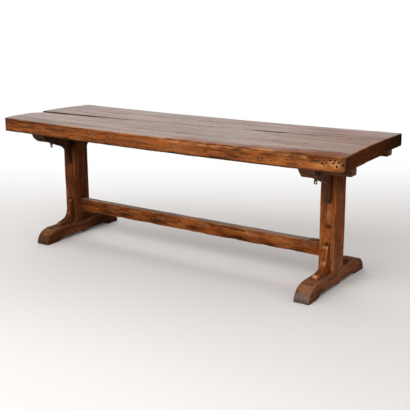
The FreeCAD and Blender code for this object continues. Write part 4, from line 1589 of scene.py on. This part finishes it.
@dataclass(frozen=True)
class Softbox:
    """One soft lamp. Sizes in metres."""

    name: str   # name of the lamp
    place: Point   # where it hangs
    size: Pair   # its width and height
    watts: float   # its power

    def build(self, target: Point) -> None:
        """Hangs the lamp.

        Args:
            target: the point that it faces.
        """
        lamp = bpy.data.lights.new(self.name, "AREA")
        lamp.shape = "RECTANGLE"
        lamp.size, lamp.size_y = self.size
        lamp.energy = self.watts
        holder = bpy.data.objects.new(self.name, lamp)
        holder.location = self.place
        aim = Vector(target) - Vector(self.place)
        holder.rotation_euler = aim.to_track_quat("-Z", "Y").to_euler()
        bpy.context.scene.collection.objects.link(holder)


@dataclass
class Studio:
    """Pale floor that turns white behind the table, soft lights and the camera. Sizes in metres."""

    floor_colour: str = "#e4e0dd"   # colour of the paper
    floor_half: float = 40.0   # half its size
    white: Pair = (0.3, 2.7)   # distances behind the table between which it turns white
    far: Pair = (5.0, 16.0)   # distances all round between which it does
    ambient: float = 0.6   # strength of the light from all sides
    mirrored: Pair = (0.4, 0.85)   # cosines to the backdrop between which gloss shows it white
    lamp_target: Point = (0, 0, 0.4)   # the point that the lamps face
    # The lamps.
    lamps: Sequence[Softbox] = (
        Softbox("overhead_softbox", (0.6, -2.6, 2.8), (4.0, 2.4), 72),
        Softbox("front_softbox", (-1.4, -4.4, 2.0), (3.4, 2.0), 35),
        Softbox("back_softbox", (-2.0, 2.6, 3.0), (3.6, 1.6), 48),
        Softbox("right_softbox", (3.6, -3.0, 1.6), (2.4, 1.6), 10))
    camera_place: Point = (2.583079, -3.678180, 1.494)   # where the camera stands
    yaw: float = -34.11   # its turn about the upright, in degrees
    pitch: float = 14.91   # its tilt downwards
    roll: float = -0.32   # its tilt sideways
    lens_mm: float = 71.36   # its focal length
    sensor_mm: float = 36.0   # width of its picture

    @property
    def behind(self) -> Point:
        """The level way from the camera over the table to the backdrop."""
        return sin(radians(self.yaw)), cos(radians(self.yaw)), 0.0

    def floor_material(self) -> bpy.types.Material:
        """Makes matt paper that burns out to white away behind the table.

        Returns:
            The material of the floor.
        """
        made = blank_material("studio_paper")
        tree = made.node_tree
        place = add_node(tree, "ShaderNodeTexCoord").outputs["Object"]
        away = add_node(tree, "ShaderNodeVectorMath", {0: place, 1: self.behind},
                        operation="DOT_PRODUCT").outputs["Value"]
        rays = add_node(tree, "ShaderNodeLightPath").outputs
        seen = add_node(tree, "ShaderNodeMath", {0: rays["Is Camera Ray"], 1: rays["Is Glossy Ray"]},
                        operation="MAXIMUM").outputs[0]
        seen = add_node(tree, "ShaderNodeMath", {0: seen, 1: rays["Is Transmission Ray"]},
                        operation="MAXIMUM").outputs[0]
        near = add_node(tree, "ShaderNodeMapRange",
                        {"Value": away, "From Min": self.white[0], "From Max": self.white[1],
                         "To Max": seen}, interpolation_type="SMOOTHSTEP").outputs[0]
        distance = add_node(tree, "ShaderNodeVectorMath", {0: place}, operation="LENGTH").outputs["Value"]
        far = add_node(tree, "ShaderNodeMapRange",
                       {"Value": distance, "From Min": self.far[0], "From Max": self.far[1],
                        "To Max": seen}, interpolation_type="SMOOTHSTEP").outputs[0]
        share = add_node(tree, "ShaderNodeMath", {0: near, 1: far}, operation="MAXIMUM").outputs[0]
        paper = add_node(tree, "ShaderNodeBsdfDiffuse", {"Color": linear(self.floor_colour)}).outputs[0]
        white = add_node(tree, "ShaderNodeEmission", {"Color": WHITE, "Strength": 1.0}).outputs[0]
        mixed = add_node(tree, "ShaderNodeMixShader", {0: share, 1: paper, 2: white}).outputs[0]
        add_node(tree, "ShaderNodeOutputMaterial", {"Surface": mixed})
        return made

    def build_floor(self) -> None:
        """Lays the floor."""
        mesh = bmesh.new()
        bmesh.ops.create_grid(mesh, x_segments=1, y_segments=1, size=self.floor_half)
        data = bpy.data.meshes.new("studio_floor")
        mesh.to_mesh(data)
        mesh.free()
        data.materials.append(self.floor_material())
        floor = bpy.data.objects.new("studio_floor", data)
        bpy.context.scene.collection.objects.link(floor)

    def build_world(self) -> None:
        """Fills the room with soft light, and shows white to the camera and in gloss before the backdrop."""
        world = bpy.data.worlds.new("studio")
        bpy.context.scene.world = world
        world.use_nodes = True
        tree = world.node_tree
        tree.nodes.clear()
        looking = add_node(tree, "ShaderNodeTexCoord").outputs["Generated"]
        towards = add_node(tree, "ShaderNodeVectorMath", {0: looking, 1: self.behind},
                           operation="DOT_PRODUCT").outputs["Value"]
        rays = add_node(tree, "ShaderNodeLightPath").outputs
        bright = add_node(tree, "ShaderNodeMath", {0: rays["Is Glossy Ray"], 1: rays["Is Transmission Ray"]},
                          operation="MAXIMUM").outputs[0]
        mirrored = add_node(tree, "ShaderNodeMapRange",
                            {"Value": towards, "From Min": self.mirrored[0], "From Max": self.mirrored[1],
                             "To Max": bright}, interpolation_type="SMOOTHSTEP").outputs[0]
        seen = add_node(tree, "ShaderNodeMath", {0: mirrored, 1: rays["Is Camera Ray"]},
                        operation="MAXIMUM").outputs[0]
        soft = add_node(tree, "ShaderNodeBackground", {"Color": WHITE, "Strength": self.ambient}).outputs[0]
        white = add_node(tree, "ShaderNodeBackground", {"Color": WHITE, "Strength": 1.0}).outputs[0]
        mixed = add_node(tree, "ShaderNodeMixShader", {0: seen, 1: soft, 2: white}).outputs[0]
        add_node(tree, "ShaderNodeOutputWorld", {"Surface": mixed})

    def build_camera(self) -> None:
        """Sets the camera where the photograph was taken from."""
        yaw, pitch, roll = radians(self.yaw), radians(self.pitch), radians(self.roll)
        ahead = Vector((sin(yaw) * cos(pitch), cos(yaw) * cos(pitch), -sin(pitch)))
        level = Vector((cos(yaw), -sin(yaw), 0))
        rise = level.cross(ahead)
        right = level * cos(roll) + rise * sin(roll)
        up = rise * cos(roll) - level * sin(roll)
        data = bpy.data.cameras.new("photo_camera")
        data.lens = self.lens_mm
        data.sensor_width = self.sensor_mm
        camera = bpy.data.objects.new("photo_camera", data)
        turn = Matrix((right, up, -ahead)).transposed().to_4x4()
        camera.matrix_world = Matrix.Translation(self.camera_place) @ turn
        bpy.context.scene.collection.objects.link(camera)
        bpy.context.scene.camera = camera

    def build(self) -> None:
        """Builds floor, world, lamps and camera."""
        bpy.context.scene.view_settings.view_transform = "Standard"
        self.build_floor()
        self.build_world()
        for lamp in self.lamps:
            lamp.build(self.lamp_target)
        self.build_camera()


def main() -> None:
    """Builds the studio and every piece of the table in order."""
    logging.basicConfig(level=logging.INFO, format="%(name)s %(message)s")
    Studio().build()
    TableTop().build()
    trestles = (
        Trestle(Side.LEFT, post_x=-884.0, wedge=(21.0, 16.0, 62.0), seam_step=-18.4,
                cleat_end={Face.FRONT: -1079.4, Face.BACK: -1059.1}, cleat_spread=178.0,
                swell=13.0, nose_wear=0.35, foot_shade=0.8, knee_wear=0.6),
        Trestle(Side.RIGHT, post_x=871.0, wedge=(15.0, 2.0, 164.0), seam_step=141.8,
                cleat_end={Face.FRONT: 1075.9, Face.BACK: 1055.7}, cleat_spread=245.0,
                swell=22.0, nose_wear=0.6, foot_shade=0.2, knee_wear=1.0))
    for trestle in trestles:
        trestle.build()
        HangingRing(trestle.side, trestle.post_x).build()
    Stretcher().build()


if __name__ == "__main__":
    main()
